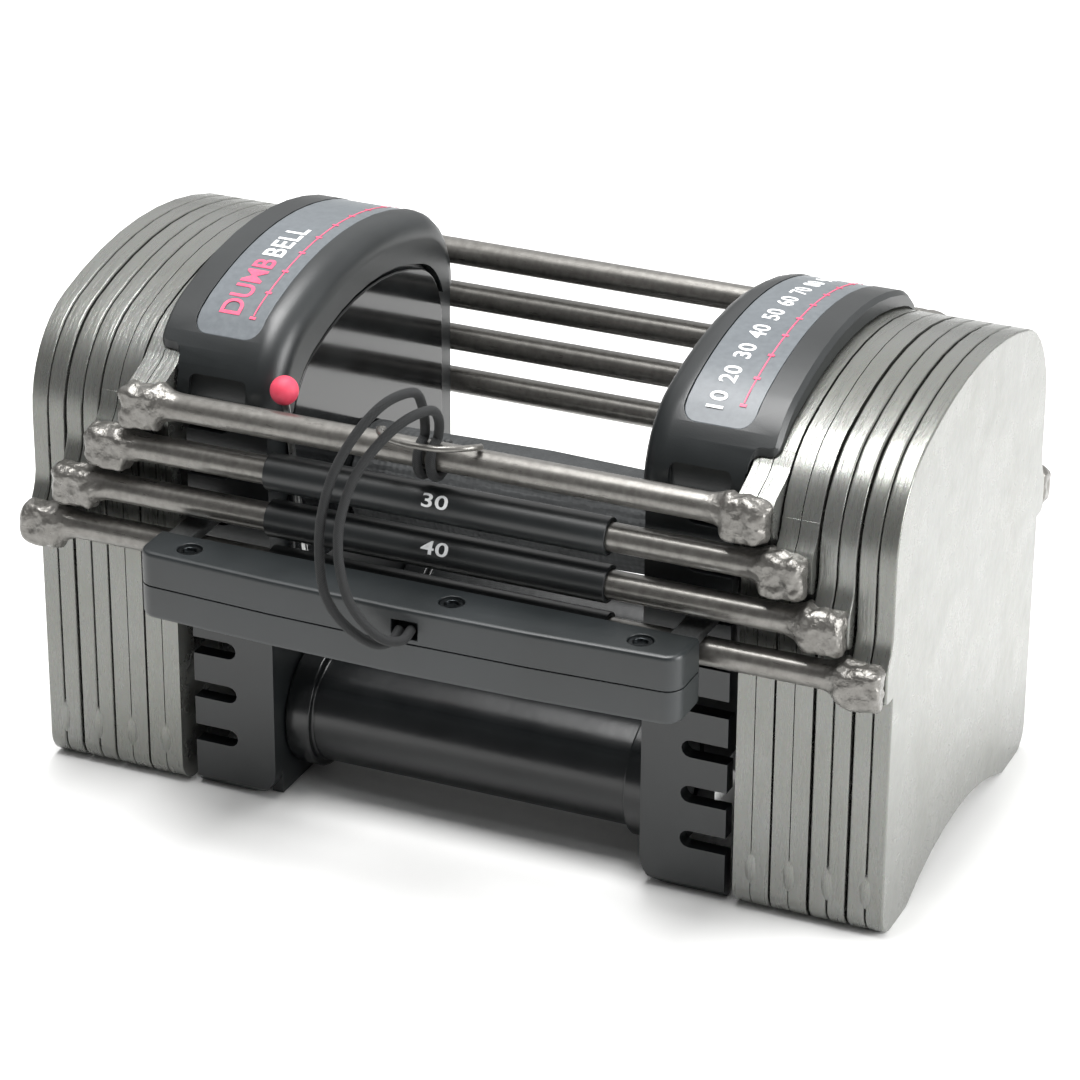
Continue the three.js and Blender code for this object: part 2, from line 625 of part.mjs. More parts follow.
function coverBody() {
  const length = COVER_OUTER - COVER_INNER;
  const tall = archShape(COVER_ARCH, COVER_LIP_Z - 4 * COVER_ROUNDING);
  const crisp = solid(extrudeRounded(tall, 'x', COVER_INNER, length, COVER_EDGE, 1));
  const soft = solid(extrudeRounded(tall, 'x', COVER_INNER, 2 * length, COVER_ROUNDING, 4));
  const below = box(0, LENGTH, -LENGTH, LENGTH, 0, COVER_LIP_Z);
  let body = cut(crisp.intersect(soft), below);
  const room = archShape(insetArch(COVER_ARCH, COVER_WALL), COVER_LIP_Z - 1);
  const roomEnd = FRAME_OUTER + NEST_GAP - COVER_PLATE_GAP;
  const roomStart = COVER_INNER + COVER_HAND_WALL;
  body = cut(body, extrude(room, 'x', roomStart, roomEnd - roomStart));
  const window = archShape(insetArch(PANEL_ARCH, -PANEL_GROOVE), COVER_LIP_Z - 1);
  body = cut(body, extrude(window, 'x', COVER_INNER - 1, COVER_HAND_WALL + 2));
  const overPlates = archShape(insetArch(PLATE_ARCH, -COVER_OVER_PLATES), COVER_LIP_Z - 1);
  body = cut(body, extrude(overPlates, 'x', roomEnd - 0.5, COVER_OVERHANG + NEST_GAP + 1));
  for (const side of [-1, 1]) {
    body = cut(body, notchCutter(side, roomEnd), pocketCutter(side));
  }
  return body.subtract(plaqueBand(PLAQUE_THICKNESS, PLAQUE_FIT, 1));
}

// Ends the overhang short of the front or back lip, with a hollow inner and a round outer corner.
function notchCutter(side, start) {
  const overNoses = archHalfWidthAt(PLATE_ARCH, RAIL_TOP_Z + COVER_FLANGE_ABOVE_RAIL);
  const end = side * Math.min(COVER_FLANGE_HALF_WIDTH, overNoses);
  const inner = side * COVER_NOTCH_HOLLOW;
  const outer = side * COVER_NOTCH_ROUNDING;
  const shape = new THREE.Shape();
  shape.moveTo(start, end + inner);
  shape.quadraticCurveTo(start, end, start + COVER_NOTCH_HOLLOW, end);
  shape.lineTo(COVER_OUTER - COVER_NOTCH_ROUNDING, end);
  shape.quadraticCurveTo(COVER_OUTER, end, COVER_OUTER, end - outer);
  shape.lineTo(COVER_OUTER + 1, end - outer);
  shape.lineTo(COVER_OUTER + 1, side * (COVER_HALF_WIDTH + 1));
  shape.lineTo(start, side * (COVER_HALF_WIDTH + 1));
  return extrude(shape, 'z', COVER_LIP_Z - 1, COVER_TOP, { curveSegments: 5 });
}

// A shallow rounded pocket in the front or back lip.
function pocketCutter(side) {
  const middle = (FRAME_INNER + FRAME_OUTER) / 2 + POCKET_ASIDE;
  const z = COVER_LIP_Z + POCKET_ABOVE_LIP + POCKET_HEIGHT / 2;
  const shape = new THREE.Shape();
  const round = POCKET_HEIGHT / 4;
  const x0 = middle - POCKET_WIDTH / 2;
  const x1 = middle + POCKET_WIDTH / 2;
  shape.moveTo(x0, z - POCKET_HEIGHT / 2);
  shape.lineTo(x1, z - POCKET_HEIGHT / 2);
  shape.absarc(x1 - round, z + POCKET_HEIGHT / 2 - round, round, 0, Math.PI / 2, false);
  shape.absarc(x0 + round, z + POCKET_HEIGHT / 2 - round, round, Math.PI / 2, Math.PI, false);
  const face = COVER_HALF_WIDTH;
  const start = side > 0 ? -face - 1 : face - POCKET_DEPTH;
  return extrude(shape, 'y', start, POCKET_DEPTH + 1, { curveSegments: 2 });
}

// A strip along the top of the cover: the label plaque, or the recess that takes it.
function plaqueBand(thickness, grow, raise) {
  const halfWidth = PLAQUE_HALF_WIDTH + grow;
  const under = insetArch(COVER_ARCH, thickness + grow);
  const over = insetArch(COVER_ARCH, -raise);
  const shape = new THREE.Shape();
  const steps = 18;
  const height = (arch, y) => {
    const { shoulderY, shoulderZ, crownZ, tangent } = archCentres(arch);
    const edge = arch.crown * Math.cos(tangent);
    const distance = Math.abs(y);
    if (distance <= edge) return crownZ + Math.sqrt(arch.crown ** 2 - distance ** 2);
    return shoulderZ + Math.sqrt(arch.shoulder ** 2 - (distance - shoulderY) ** 2);
  };
  for (let i = 0; i <= steps; i += 1) {
    const y = -halfWidth + (2 * halfWidth * i) / steps;
    if (i === 0) shape.moveTo(y, height(under, y));
    else shape.lineTo(y, height(under, y));
  }
  for (let i = steps; i >= 0; i -= 1) {
    const y = -halfWidth + (2 * halfWidth * i) / steps;
    shape.lineTo(y, height(over, y));
  }
  const x0 = COVER_OUTER - PLAQUE_MARGIN - PLAQUE_DEPTH - grow;
  const x1 = x0 + PLAQUE_DEPTH + 2 * grow;
  const corner = PLAQUE_CORNER_RADIUS + grow;
  const plan = new THREE.Shape();
  plan.absarc(x1 - corner, halfWidth - corner, corner, 0, Math.PI / 2, false);
  plan.absarc(x0 + corner, halfWidth - corner, corner, Math.PI / 2, Math.PI, false);
  plan.absarc(x0 + corner, corner - halfWidth, corner, Math.PI, 1.5 * Math.PI, false);
  plan.absarc(x1 - corner, corner - halfWidth, corner, 1.5 * Math.PI, 2 * Math.PI, false);
  const column = extrude(plan, 'z', COVER_LIP_Z, COVER_RISE + PLATE_TOP, { curveSegments: 3 });
  return solid(extrude(shape, 'x', x0, x1 - x0)).intersect(solid(column));
}

function panelBody() {
  const outline = archShape(PANEL_ARCH, PANEL_BOTTOM);
  const body = solid(extrude(outline, 'x', PANEL_FACE, PANEL_THICKNESS));
  const radius = HANDLE_RADIUS + CONTACT_GAP;
  return cut(body, cylinderX(radius, PANEL_FACE - 1, FRAME_INNER, 0, HANDLE_Z));
}

// Copies a body drawn on the right to either side, turned half round about Z.
function onSide(body, side) {
  const geometry = geometryOf(body);
  if (side.sign < 0) geometry.rotateZ(Math.PI);
  return geometry;
}

function addCoreEnds() {
  const frame = frameBody();
  const cover = coverBody();
  const panel = panelBody();
  const plaque = plaqueBand(PLAQUE_THICKNESS, 0, -PLAQUE_FIT);
  for (const side of SIDES) {
    addPiece(`end_frame_${side.name}`, onSide(frame, side), 'moulding');
    addPiece(`cover_${side.name}`, onSide(cover, side), 'moulding');
    addPiece(`label_plaque_${side.name}`, onSide(plaque, side), 'plaque');
    addPiece(`inner_panel_${side.name}`, onSide(panel, side), 'gloss');
  }
}

function addHandle() {
  const end = FRAME_INNER + FRAME_WEB;
  addPiece('handle_tube', cylinderX(HANDLE_RADIUS, -end, end, 0, HANDLE_Z), 'steel');
  const reach = PANEL_FACE - GRIP_WALL_GAP;
  const bore = HANDLE_RADIUS + CONTACT_GAP;
  const ridge = GRIP_RADIUS + GRIP_RIDGE;
  const band = GRIP_END_BAND;
  const waist = GRIP_END_BAND + GRIP_TAPER;
  const profile = [
    [bore, -reach], [ridge, -reach], [ridge, band - reach], [GRIP_RADIUS, waist - reach],
    [ridge, 0], [GRIP_RADIUS, reach - waist], [ridge, reach - band], [ridge, reach],
    [bore, reach], [bore, -reach],
  ];
  addPiece('handle_grip', turnedX(profile, 0, HANDLE_Z), 'rubber');
}

// A side tube with a collar at each end, open at both ends, and the adder weight inside it.
function addSideTube(name, side) {
  const bore = TUBE_RADIUS - TUBE_WALL;
  const collar = TUBE_END - TUBE_COLLAR_LENGTH;
  const profile = [
    [bore, -TUBE_END], [TUBE_COLLAR_RADIUS, -TUBE_END], [TUBE_COLLAR_RADIUS, -collar],
    [TUBE_RADIUS, -collar], [TUBE_RADIUS, collar], [TUBE_COLLAR_RADIUS, collar],
    [TUBE_COLLAR_RADIUS, TUBE_END], [bore, TUBE_END], [bore, -TUBE_END],
  ];
  addPiece(`side_tube_${name}`, turnedX(profile, side * TUBE_Y, TUBE_Z, 28), 'gloss');
  const reach = FRAME_INNER + FRAME_WEB - ADDER_END_CLEARANCE;
  const weight = cylinderX(bore - ADDER_FIT, -reach, reach, side * TUBE_Y, TUBE_Z);
  addPiece(`adder_weight_${name}`, weight, 'steel');
}

// ---- lock levers: the left one is at the front, the right one at the back ----

const LEVER_REACH = Math.hypot(BALL_Y - LEVER_PIVOT_Y, BALL_Z - LEVER_PIVOT_Z);
const LEVER_WIRE_END = LEVER_REACH - BALL_RADIUS + BALL_SOCKET_DEPTH;

// A point on the line from the pivot to the ball.
function leverPoint(along) {
  const share = along / LEVER_REACH;
  return [
    FRAME_INNER - LEVER_PLANE,
    LEVER_PIVOT_Y + share * (BALL_Y - LEVER_PIVOT_Y),
    LEVER_PIVOT_Z + share * (BALL_Z - LEVER_PIVOT_Z),
  ];
}

function leverBody() {
  const arm = [leverPoint(LEVER_EYE_RADIUS), leverPoint(LEVER_WIRE_END)];
  const tail = [leverPoint(-LEVER_EYE_RADIUS), leverPoint(-LEVER_TAIL)];
  const eye = new THREE.TorusGeometry(LEVER_EYE_RADIUS, LEVER_WIRE_RADIUS, 8, 20);
  eye.rotateY(Math.PI / 2).translate(...leverPoint(0));
  const armWire = tubeAlong(arm, LEVER_WIRE_RADIUS, 10, 2);
  return join(eye, armWire, tubeAlong(tail, LEVER_WIRE_RADIUS, 10, 1));
}

function ballBody() {
  const ball = new THREE.SphereGeometry(BALL_RADIUS, 16, 8);
  ball.rotateX(Math.PI / 2).translate(...leverPoint(LEVER_REACH));
  const mouth = leverPoint(LEVER_REACH - BALL_RADIUS - 1);
  const floor = leverPoint(LEVER_WIRE_END + CONTACT_GAP);
  const socket = tubeAlong([mouth, floor], LEVER_WIRE_RADIUS + CONTACT_GAP, 12, 1);
  return cut(solid(ball), socket);
}

function studBody() {
  const radius = LEVER_EYE_RADIUS - LEVER_WIRE_RADIUS - LEVER_PIN_CLEARANCE;
  const headStart = FRAME_INNER - LEVER_PLANE - LEVER_WIRE_RADIUS - LEVER_PIN_CLEARANCE;
  const profile = [
    [0, headStart - STUD_HEAD_LENGTH], [STUD_HEAD_RADIUS, headStart - STUD_HEAD_LENGTH],
    [STUD_HEAD_RADIUS, headStart], [radius, headStart],
    [radius, FRAME_INNER - CONTACT_GAP], [0, FRAME_INNER - CONTACT_GAP],
  ];
  return solid(turnedX(profile, LEVER_PIVOT_Y, LEVER_PIVOT_Z, 20));
}

function addLevers() {
  const lever = leverBody();
  const ball = ballBody();
  const stud = studBody();
  for (const side of SIDES) {
    addPiece(`lock_lever_${side.name}`, onSide(lever, side), 'steel');
    addPiece(`lever_ball_${side.name}`, onSide(ball, side), 'ball');
    addPiece(`lever_stud_${side.name}`, onSide(stud, side), 'steel');
  }
}

// ---- selector pin ----

function barPlan() {
  const corner = BAR_CORNER_RADIUS;
  const half = BAR_HALF_LENGTH;
  const shape = new THREE.Shape();
  shape.moveTo(-half, -BAR_BACK);
  shape.lineTo(-half, corner - BAR_FRONT);
  shape.absarc(corner - half, corner - BAR_FRONT, corner, Math.PI, 1.5 * Math.PI, false);
  shape.quadraticCurveTo(0, -BAR_FRONT - 2 * BAR_BULGE, half - corner, -BAR_FRONT);
  shape.absarc(half - corner, corner - BAR_FRONT, corner, -Math.PI / 2, 0, false);
  shape.lineTo(half, -BAR_BACK);
  return shape;
}

function tineSpan(sign) {
  const x = sign * TINE_X;
  return [x - TINE_WIDTH / 2, x + TINE_WIDTH / 2];
}

// Both halves come from one rounded bar, parted at the seam.
function barHalf(z0, z1, holdsTines) {
  const bottom = BAR_TOP_Z - BAR_HEIGHT;
  const whole = solid(extrudeRounded(barPlan(), 'z', bottom, BAR_HEIGHT, BAR_BEVEL, 2));
  const keep = box(-LENGTH, LENGTH, -LENGTH, 0, z0, z1);
  let half = whole.intersect(solid(keep));
  if (holdsTines) {
    for (const sign of [-1, 1]) {
      const [x0, x1] = tineSpan(sign);
      const grow = TINE_FIT;
      const slot = box(x0 - grow, x1 + grow, TINE_SETBACK - BAR_FRONT - grow, -BAR_BACK + 1,
        TINE_Z - TINE_THICKNESS / 2 - grow, TINE_Z + TINE_THICKNESS / 2 + grow);
      half = cut(half, slot);
    }
  }
  return half;
}

function addSelectorPin() {
  const screwXs = [-SCREW_X, SCREW_MIDDLE_X, SCREW_X];
  const screwY = -BAR_BACK - SCREW_SET_IN;
  const headTop = BAR_TOP_Z - SCREW_RECESS;
  const headBottom = headTop - SCREW_HEAD_HEIGHT;
  const tip = BAR_TOP_Z - SCREW_DEPTH;
  const bores = screwXs.flatMap((x) => [
    cylinderZ(SCREW_HEAD_RADIUS + SCREW_FIT, x, screwY, headBottom - SCREW_FIT, BAR_TOP_Z + 1),
    cylinderZ(SCREW_SHANK_RADIUS + SCREW_FIT, x, screwY, tip - SCREW_FIT, headBottom),
  ]);
  const cordHole = box(CORD_HOLE_X - CORD_HOLE_WIDTH / 2, CORD_HOLE_X + CORD_HOLE_WIDTH / 2,
    -BAR_FRONT - 2 * BAR_BULGE, -BAR_FRONT - BAR_BULGE + CORD_HOLE_DEPTH,
    CORD_HOLE_Z - CORD_HOLE_HEIGHT / 2, CORD_HOLE_Z + CORD_HOLE_HEIGHT / 2);
  const bottom = BAR_TOP_Z - BAR_HEIGHT;
  const upper = barHalf(BAR_SEAM_Z + BAR_SEAM_GAP / 2, BAR_TOP_Z + 1, true);
  const lower = barHalf(bottom - 1, BAR_SEAM_Z - BAR_SEAM_GAP / 2, false);
  addPiece('pin_bar_upper', geometryOf(cut(upper, ...bores, cordHole)), 'moulding');
  addPiece('pin_bar_lower', geometryOf(cut(lower, ...bores)), 'moulding');
  for (const side of SIDES) {
    const [x0, x1] = tineSpan(side.sign);
    addPiece(`pin_tine_${side.name}`, tineGeometry(x0, x1), 'steel');
  }
  for (const [index, x] of screwXs.entries()) {
    const profile = [
      [0, tip], [SCREW_SHANK_RADIUS, tip], [SCREW_SHANK_RADIUS, headBottom],
      [SCREW_HEAD_RADIUS, headBottom], [SCREW_HEAD_RADIUS, headTop], [0, headTop],
    ];
    const points = profile.map(([radius, z]) => new THREE.Vector2(radius, z));
    const geometry = new THREE.LatheGeometry(points, 16).rotateX(Math.PI / 2);
    addPiece(`pin_screw_${index + 1}`, geometry.translate(x, screwY, 0), 'steel');
  }
}

// A flat tine with a rounded tip, from inside the bar to past the back comb.
function tineGeometry(x0, x1) {
  const root = TINE_SETBACK - BAR_FRONT;
  const tip = FRAME_HALF_WIDTH + TINE_OVERREACH;
  const radius = TINE_WIDTH / 2;
  const shape = new THREE.Shape();
  shape.moveTo(x0, root);
  shape.lineTo(x1, root);
  shape.absarc((x0 + x1) / 2, tip - radius, radius, 0, Math.PI, false);
  return extrude(shape, 'z', TINE_Z - TINE_THICKNESS / 2, TINE_THICKNESS);
}

// ---- tether: two strands from the bar to the top front rail, and the wire keeper on that rail ----

// Free run of each strand, from the hole in the bar up and over to the rail.
const CORD_ROUTES = {
  left: [
    [1, -113, 98.9],
    [0.4, -117.5, 96.6],
    [-3, -120.5, 95.9],
    [-8.5, -123, 99],
    [-14.5, -125, 105],
    [-19, -125.5, 113],
    [-21.3, -124, 124],
    [-21.8, -121.5, 136],
    [-19.5, -117.5, 150],
    [-14, -111.5, 163],
    [-7, -104.5, 172],
    [-1.5, -97, 173.5],
    [-2, -89, 166],
  ],
  right: [
    [5.2, -113, 99.6],
    [4.4, -118.5, 98],
    [0.4, -122, 98.9],
    [-5, -124, 103.4],
    [-10.2, -125.5, 111.4],
    [-13, -125.3, 119.5],
    [-14.9, -123.8, 128.5],
    [-15.2, -120.8, 138],
    [-13, -115.5, 149.5],
    [-8, -109, 159],
    [-1.5, -102, 166],
    [3.5, -95, 167.5],
    [3, -87.5, 161.5],
  ],
};

// The free run, then one hitch around the rail, starting over its top.
function cordPoints(name) {
  const radius = RAIL_RADIUS + CORD_RADIUS + CORD_WRAP_GAP;
  const x = CORD_WRAP_X + (name === 'right' ? CORD_SPACING : 0);
  const points = [...CORD_ROUTES[name]];
  for (let degrees = CORD_WRAP_START; degrees <= CORD_WRAP_END; degrees += CORD_WRAP_STEP) {
    const angle = THREE.MathUtils.degToRad(degrees);
    points.push([x, -RAIL_Y + radius * Math.cos(angle), railZ(0) + radius * Math.sin(angle)]);
  }
  return points;
}

function addTether() {
  for (const name of Object.keys(CORD_ROUTES)) {
    const tube = tubeAlong(cordPoints(name), CORD_RADIUS, CORD_SIDES, CORD_STEPS);
    addPiece(`tether_cord_${name}`, tube, 'cord');
  }
}

// A bent wire loop that stands on the rail and leans in front of the hitch.
function addKeeper() {
  const top = railZ(0) + RAIL_RADIUS + KEEPER_FOOT_GAP;
  const span = (share, forward, rise) => [
    KEEPER_X + share * KEEPER_HALF_SPAN,
    -RAIL_Y - forward * KEEPER_LEAN,
    top + rise * KEEPER_RISE,
  ];
  const points = [
    span(-1, 0, 0), span(-1, 0.3, 0.5), span(-0.5, 1, 1), span(0.5, 1, 1), span(1, 0.3, 0.5),
    span(1, 0, 0),
  ];
  addPiece('cord_keeper', tubeAlong(points, KEEPER_WIRE_RADIUS, 8, 16), 'steel');
}

// ---- assembly ----

LAYER_NAMES.forEach((_, layer) => {
  addPlates(layer);
  addRails(layer);
});
[1, 2, 3].forEach(addSleeve);
addCoreEnds();
addHandle();
addSideTube('front', -1);
addSideTube('back', 1);
addLevers();
addSelectorPin();
addTether();
addKeeper();

export default model;
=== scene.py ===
"""Looks of an adjustable dumbbell: nested weight layers, a lift-out core and a selector pin."""

import math

import bpy
from mathutils import Matrix, Vector


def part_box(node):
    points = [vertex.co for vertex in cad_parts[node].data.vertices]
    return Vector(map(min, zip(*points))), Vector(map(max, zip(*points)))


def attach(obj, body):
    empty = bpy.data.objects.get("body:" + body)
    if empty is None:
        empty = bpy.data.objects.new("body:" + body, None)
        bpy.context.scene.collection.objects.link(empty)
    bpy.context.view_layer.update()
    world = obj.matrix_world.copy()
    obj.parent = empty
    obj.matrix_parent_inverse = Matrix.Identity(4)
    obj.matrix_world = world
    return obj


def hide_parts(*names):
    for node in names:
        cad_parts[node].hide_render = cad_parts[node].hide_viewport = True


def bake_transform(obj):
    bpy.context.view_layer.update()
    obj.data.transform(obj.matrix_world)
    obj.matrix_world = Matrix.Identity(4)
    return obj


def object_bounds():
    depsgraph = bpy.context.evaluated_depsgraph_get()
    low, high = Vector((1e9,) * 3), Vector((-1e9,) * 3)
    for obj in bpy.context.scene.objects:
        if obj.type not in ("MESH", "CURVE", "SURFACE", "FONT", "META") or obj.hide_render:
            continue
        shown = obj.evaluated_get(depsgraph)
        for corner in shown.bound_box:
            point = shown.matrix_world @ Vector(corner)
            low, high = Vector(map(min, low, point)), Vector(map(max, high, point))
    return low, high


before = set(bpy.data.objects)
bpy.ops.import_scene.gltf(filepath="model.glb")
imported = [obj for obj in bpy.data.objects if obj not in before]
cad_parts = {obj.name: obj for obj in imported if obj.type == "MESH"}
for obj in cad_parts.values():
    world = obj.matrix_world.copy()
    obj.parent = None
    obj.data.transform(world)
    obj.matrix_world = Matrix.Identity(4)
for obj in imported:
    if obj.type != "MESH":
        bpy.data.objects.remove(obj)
CAD_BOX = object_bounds()

MM = 0.001
SHIFT_Y = 12.725  # the row frame lies this far behind the handle's axis, in mm
LAYERS = ("20", "30", "40", "50")
SIDES = ("left", "right")
RAIL_RADIUS = 4.75
RAIL_Y = 82.0  # the rails' axes lie this far before and behind the handle's axis
RAIL_HEIGHTS = {"20": 146, "30": 129.4, "40": 112.8, "50": 96.2}
CORD_RADIUS = 1.6
HITCH_RADIUS = 6.75  # of the cord's axis where it goes round the top rail
SLEEVE_RADIUS = 6.3
COVER_CROWN = (150.0, 31.0)  # radius and height of the centre of the cover's crown
COVER_SHOULDER = (34.0, 38.0, 140.6)  # radius, half width and height of the shoulder's centre
COVER_TANGENT = math.asin(38.0 / 116.0)  # where the crown runs into the shoulder


def mm(x, y, z):
    """A point given from the handle's axis in mm, in the row frame in metres."""
    return Vector((x * MM, (y + SHIFT_Y) * MM, z * MM))


# ---- camera ----

camera_data = bpy.data.cameras.new("camera")
camera_data.lens = 137.97
camera_data.sensor_width = 36
camera_data.clip_end = 20
camera = bpy.data.objects.new("camera", camera_data)
bpy.context.scene.collection.objects.link(camera)


def aim_camera(azimuth, elevation, roll, distance, target):
    back = Vector((
        math.sin(azimuth) * math.cos(elevation),
        -math.cos(azimuth) * math.cos(elevation),
        math.sin(elevation),
    ))
    right = (-back).cross(Vector((0, 0, 1))).normalized()
    up = right.cross(-back)
    across = math.cos(roll) * right + math.sin(roll) * up
    upright = -math.sin(roll) * right + math.cos(roll) * up
    turned = Matrix((across, upright, back)).transposed().to_4x4()
    camera.matrix_world = Matrix.Translation(target + distance * back) @ turned


aim_camera(
    math.radians(23.72), math.radians(25.38), math.radians(0.33), 1.4021, mm(2.4, -6.3, 84.2)
)
bpy.context.scene.camera = camera


# ---- small tools for materials ----


def srgb(code):
    """An sRGB hex colour as linear RGBA."""
    values = [int(code[i : i + 2], 16) / 255 for i in (1, 3, 5)]
    linear = [v / 12.92 if v <= 0.04045 else ((v + 0.055) / 1.055) ** 2.4 for v in values]
    return (*linear, 1.0)


def add(tree, kind, values=(), links=(), **settings):
    """Adds a node with its settings, its input values and its input links."""
    made = tree.nodes.new(kind)
    for name, value in settings.items():
        setattr(made, name, value)
    for socket, value in dict(values).items():
        made.inputs[socket].default_value = value
    for socket, source in dict(links).items():
        tree.links.new(source, made.inputs[socket])
    return made


def per_mm(size):
    """Scale of a pattern on Object coordinates whose features are this many mm across."""
    return 1 / (size * MM)


def new_material(name):
    material = bpy.data.materials.new(name)
    material.use_nodes = True
    tree = material.node_tree
    tree.nodes.clear()
    shader = tree.nodes.new("ShaderNodeBsdfPrincipled")
    output = tree.nodes.new("ShaderNodeOutputMaterial")
    tree.links.new(shader.outputs["BSDF"], output.inputs["Surface"])
    place = tree.nodes.new("ShaderNodeTexCoord")
    return material, tree, shader, place.outputs["Object"]


def spread(tree, factor, low, high):
    """A colour ramp between two sRGB colours."""
    ramp = add(tree, "ShaderNodeValToRGB", links={"Fac": factor})
    ramp.color_ramp.elements[0].position = 0.3
    ramp.color_ramp.elements[1].position = 0.7
    ramp.color_ramp.elements[0].color = srgb(low)
    ramp.color_ramp.elements[1].color = srgb(high)
    return ramp.outputs["Color"]


def between(tree, factor, low, high):
    """A value that runs from low to high with the factor."""
    made = add(tree, "ShaderNodeMapRange", {"To Min": low, "To Max": high}, {"Value": factor})
    return made.outputs["Result"]


# ---- cords ----

# Free run of each strand, from the hole in the bar up and over to the top front rail, in mm.
CORD_RUNS = {
    "left": [
        (1, -113, 98.9), (0.4, -117.5, 96.6), (-3, -120.5, 95.9), (-8.5, -123, 99),
        (-14.5, -125, 105), (-19, -125.5, 113), (-21.3, -124, 124), (-21.8, -121.5, 136),
        (-19.5, -117.5, 150), (-14, -111.5, 163), (-7, -104.5, 172), (-1.5, -97, 173.5),
        (-2, -89, 166),
    ],
    "right": [
        (5.2, -113, 99.6), (4.4, -118.5, 98), (0.4, -122, 98.9), (-5, -124, 103.4),
        (-10.2, -125.5, 111.4), (-13, -125.3, 119.5), (-14.9, -123.8, 128.5),
        (-15.2, -120.8, 138), (-13, -115.5, 149.5), (-8, -109, 159), (-1.5, -102, 166),
        (3.5, -95, 167.5), (3, -87.5, 161.5),
    ],
}
HITCH_X = {"left": -4.0, "right": 0.6}


def cord_route(side):
    """The free run, then the hitch round the rail, in metres."""
    route = [mm(*point) for point in CORD_RUNS[side]]
    for degrees in range(100, 381, 28):
        angle = math.radians(degrees)
        y = -RAIL_Y + HITCH_RADIUS * math.cos(angle)
        z = RAIL_HEIGHTS["20"] + HITCH_RADIUS * math.sin(angle)
        route.append(mm(HITCH_X[side], y, z))
    return route


def smooth_line(points, steps):
    """Centripetal curve through the points, with so many steps in each span."""
    ends = [2 * points[0] - points[1], *points, 2 * points[-1] - points[-2]]
    line = []
    for i in range(1, len(ends) - 2):
        a, b, c, d = ends[i - 1 : i + 3]
        ta = 0.0
        tb = ta + (b - a).length ** 0.5
        tc = tb + (c - b).length ** 0.5
        td = tc + (d - c).length ** 0.5
        for step in range(steps):
            t = tb + (tc - tb) * step / steps
            ab = a.lerp(b, (t - ta) / (tb - ta))
            bc = b.lerp(c, (t - tb) / (tc - tb))
            cd = c.lerp(d, (t - tc) / (td - tc))
            abc = ab.lerp(bc, (t - ta) / (tc - ta))
            bcd = bc.lerp(cd, (t - tb) / (td - tb))
            line.append(abc.lerp(bcd, (t - tb) / (tc - tb)))
    return [*line, points[-1]]


def tube(name, line, radius, sides):
    """A round tube along a line, with rounded ends and a UV map of turns and diameters."""
    tangents = []
    for i, point in enumerate(line):
        ahead = line[min(i + 1, len(line) - 1)] - line[max(i - 1, 0)]
        tangents.append(ahead.normalized())
    normal = tangents[0].orthogonal().normalized()
    rings = []
    run = 0.0
    for i, point in enumerate(line):
        if i:
            run += (point - line[i - 1]).length
            normal = (normal - normal.dot(tangents[i]) * tangents[i]).normalized()
        side = tangents[i].cross(normal)
        rings.append((point, normal.copy(), side, run, radius))
    for end, at in ((0, -1), (-1, 1)):
        point, n, side, run_at, r = rings[end]
        caps = []
        for share in (0.5, 0.85):
            reach = at * radius * share * 0.6
            small = r * math.sqrt(1 - share**2)
            caps.append((point + reach * tangents[end], n, side, run_at + reach, small))
        rings = [*reversed(caps), *rings] if at < 0 else [*rings, *caps]
    verts, faces, uvs = [], [], []
    for point, n, side, _, r in rings:
        for k in range(sides):
            angle = 2 * math.pi * k / sides
            verts.append(point + r * (math.cos(angle) * n + math.sin(angle) * side))
    for i in range(len(rings) - 1):
        for k in range(sides):
            m = (k + 1) % sides
            a, b = i * sides, (i + 1) * sides
            faces.append((a + k, a + m, b + m, b + k))
            u0, u1 = k / sides, (k + 1) / sides
            v0, v1 = rings[i][3] / (2 * radius), rings[i + 1][3] / (2 * radius)
            uvs += [(u0, v0), (u1, v0), (u1, v1), (u0, v1)]
    last = (len(rings) - 1) * sides
    faces.append(tuple(range(sides - 1, -1, -1)))
    uvs += [(0.5, 0.0)] * sides
    faces.append(tuple(range(last, last + sides)))
    uvs += [(0.5, rings[-1][3] / (2 * radius))] * sides
    mesh = bpy.data.meshes.new(name)
    mesh.from_pydata(verts, [], faces)
    layer = mesh.uv_layers.new(name="UVMap")
    for loop, uv in zip(layer.data, uvs):
        loop.uv = uv
    mesh.update()
    piece = bpy.data.objects.new(name, mesh)
    bpy.context.scene.collection.objects.link(piece)
    for face in mesh.polygons:
        face.use_smooth = True
    return piece


def run_length(line):
    return sum((b - a).length for a, b in zip(line, line[1:]))


cord_lines = {side: smooth_line(cord_route(side), 8) for side in SIDES}
cords = {side: tube(f"cord_{side}", cord_lines[side], CORD_RADIUS * MM, 20) for side in SIDES}


# ---- small tools for meshes ----


def only(piece):
    """Selects this piece and nothing else."""
    bpy.ops.object.select_all(action="DESELECT")
    piece.select_set(True)
    bpy.context.view_layer.objects.active = piece


def copy_of(node, name=None):
    """A merged copy of a CAD node, to be finished as a piece that stands for it."""
    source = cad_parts[node]
    piece = bpy.data.objects.new(name or f"{node}_finished", source.data.copy())
    piece.data.materials.clear()
    bpy.context.scene.collection.objects.link(piece)
    only(piece)
    bpy.ops.object.mode_set(mode="EDIT")
    bpy.ops.mesh.select_all(action="SELECT")
    bpy.ops.mesh.remove_doubles(threshold=0.00002)
    bpy.ops.mesh.customdata_custom_splitnormals_clear()
    bpy.ops.mesh.dissolve_limited(angle_limit=math.radians(0.6))
    bpy.ops.object.mode_set(mode="OBJECT")
    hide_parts(node)
    return piece


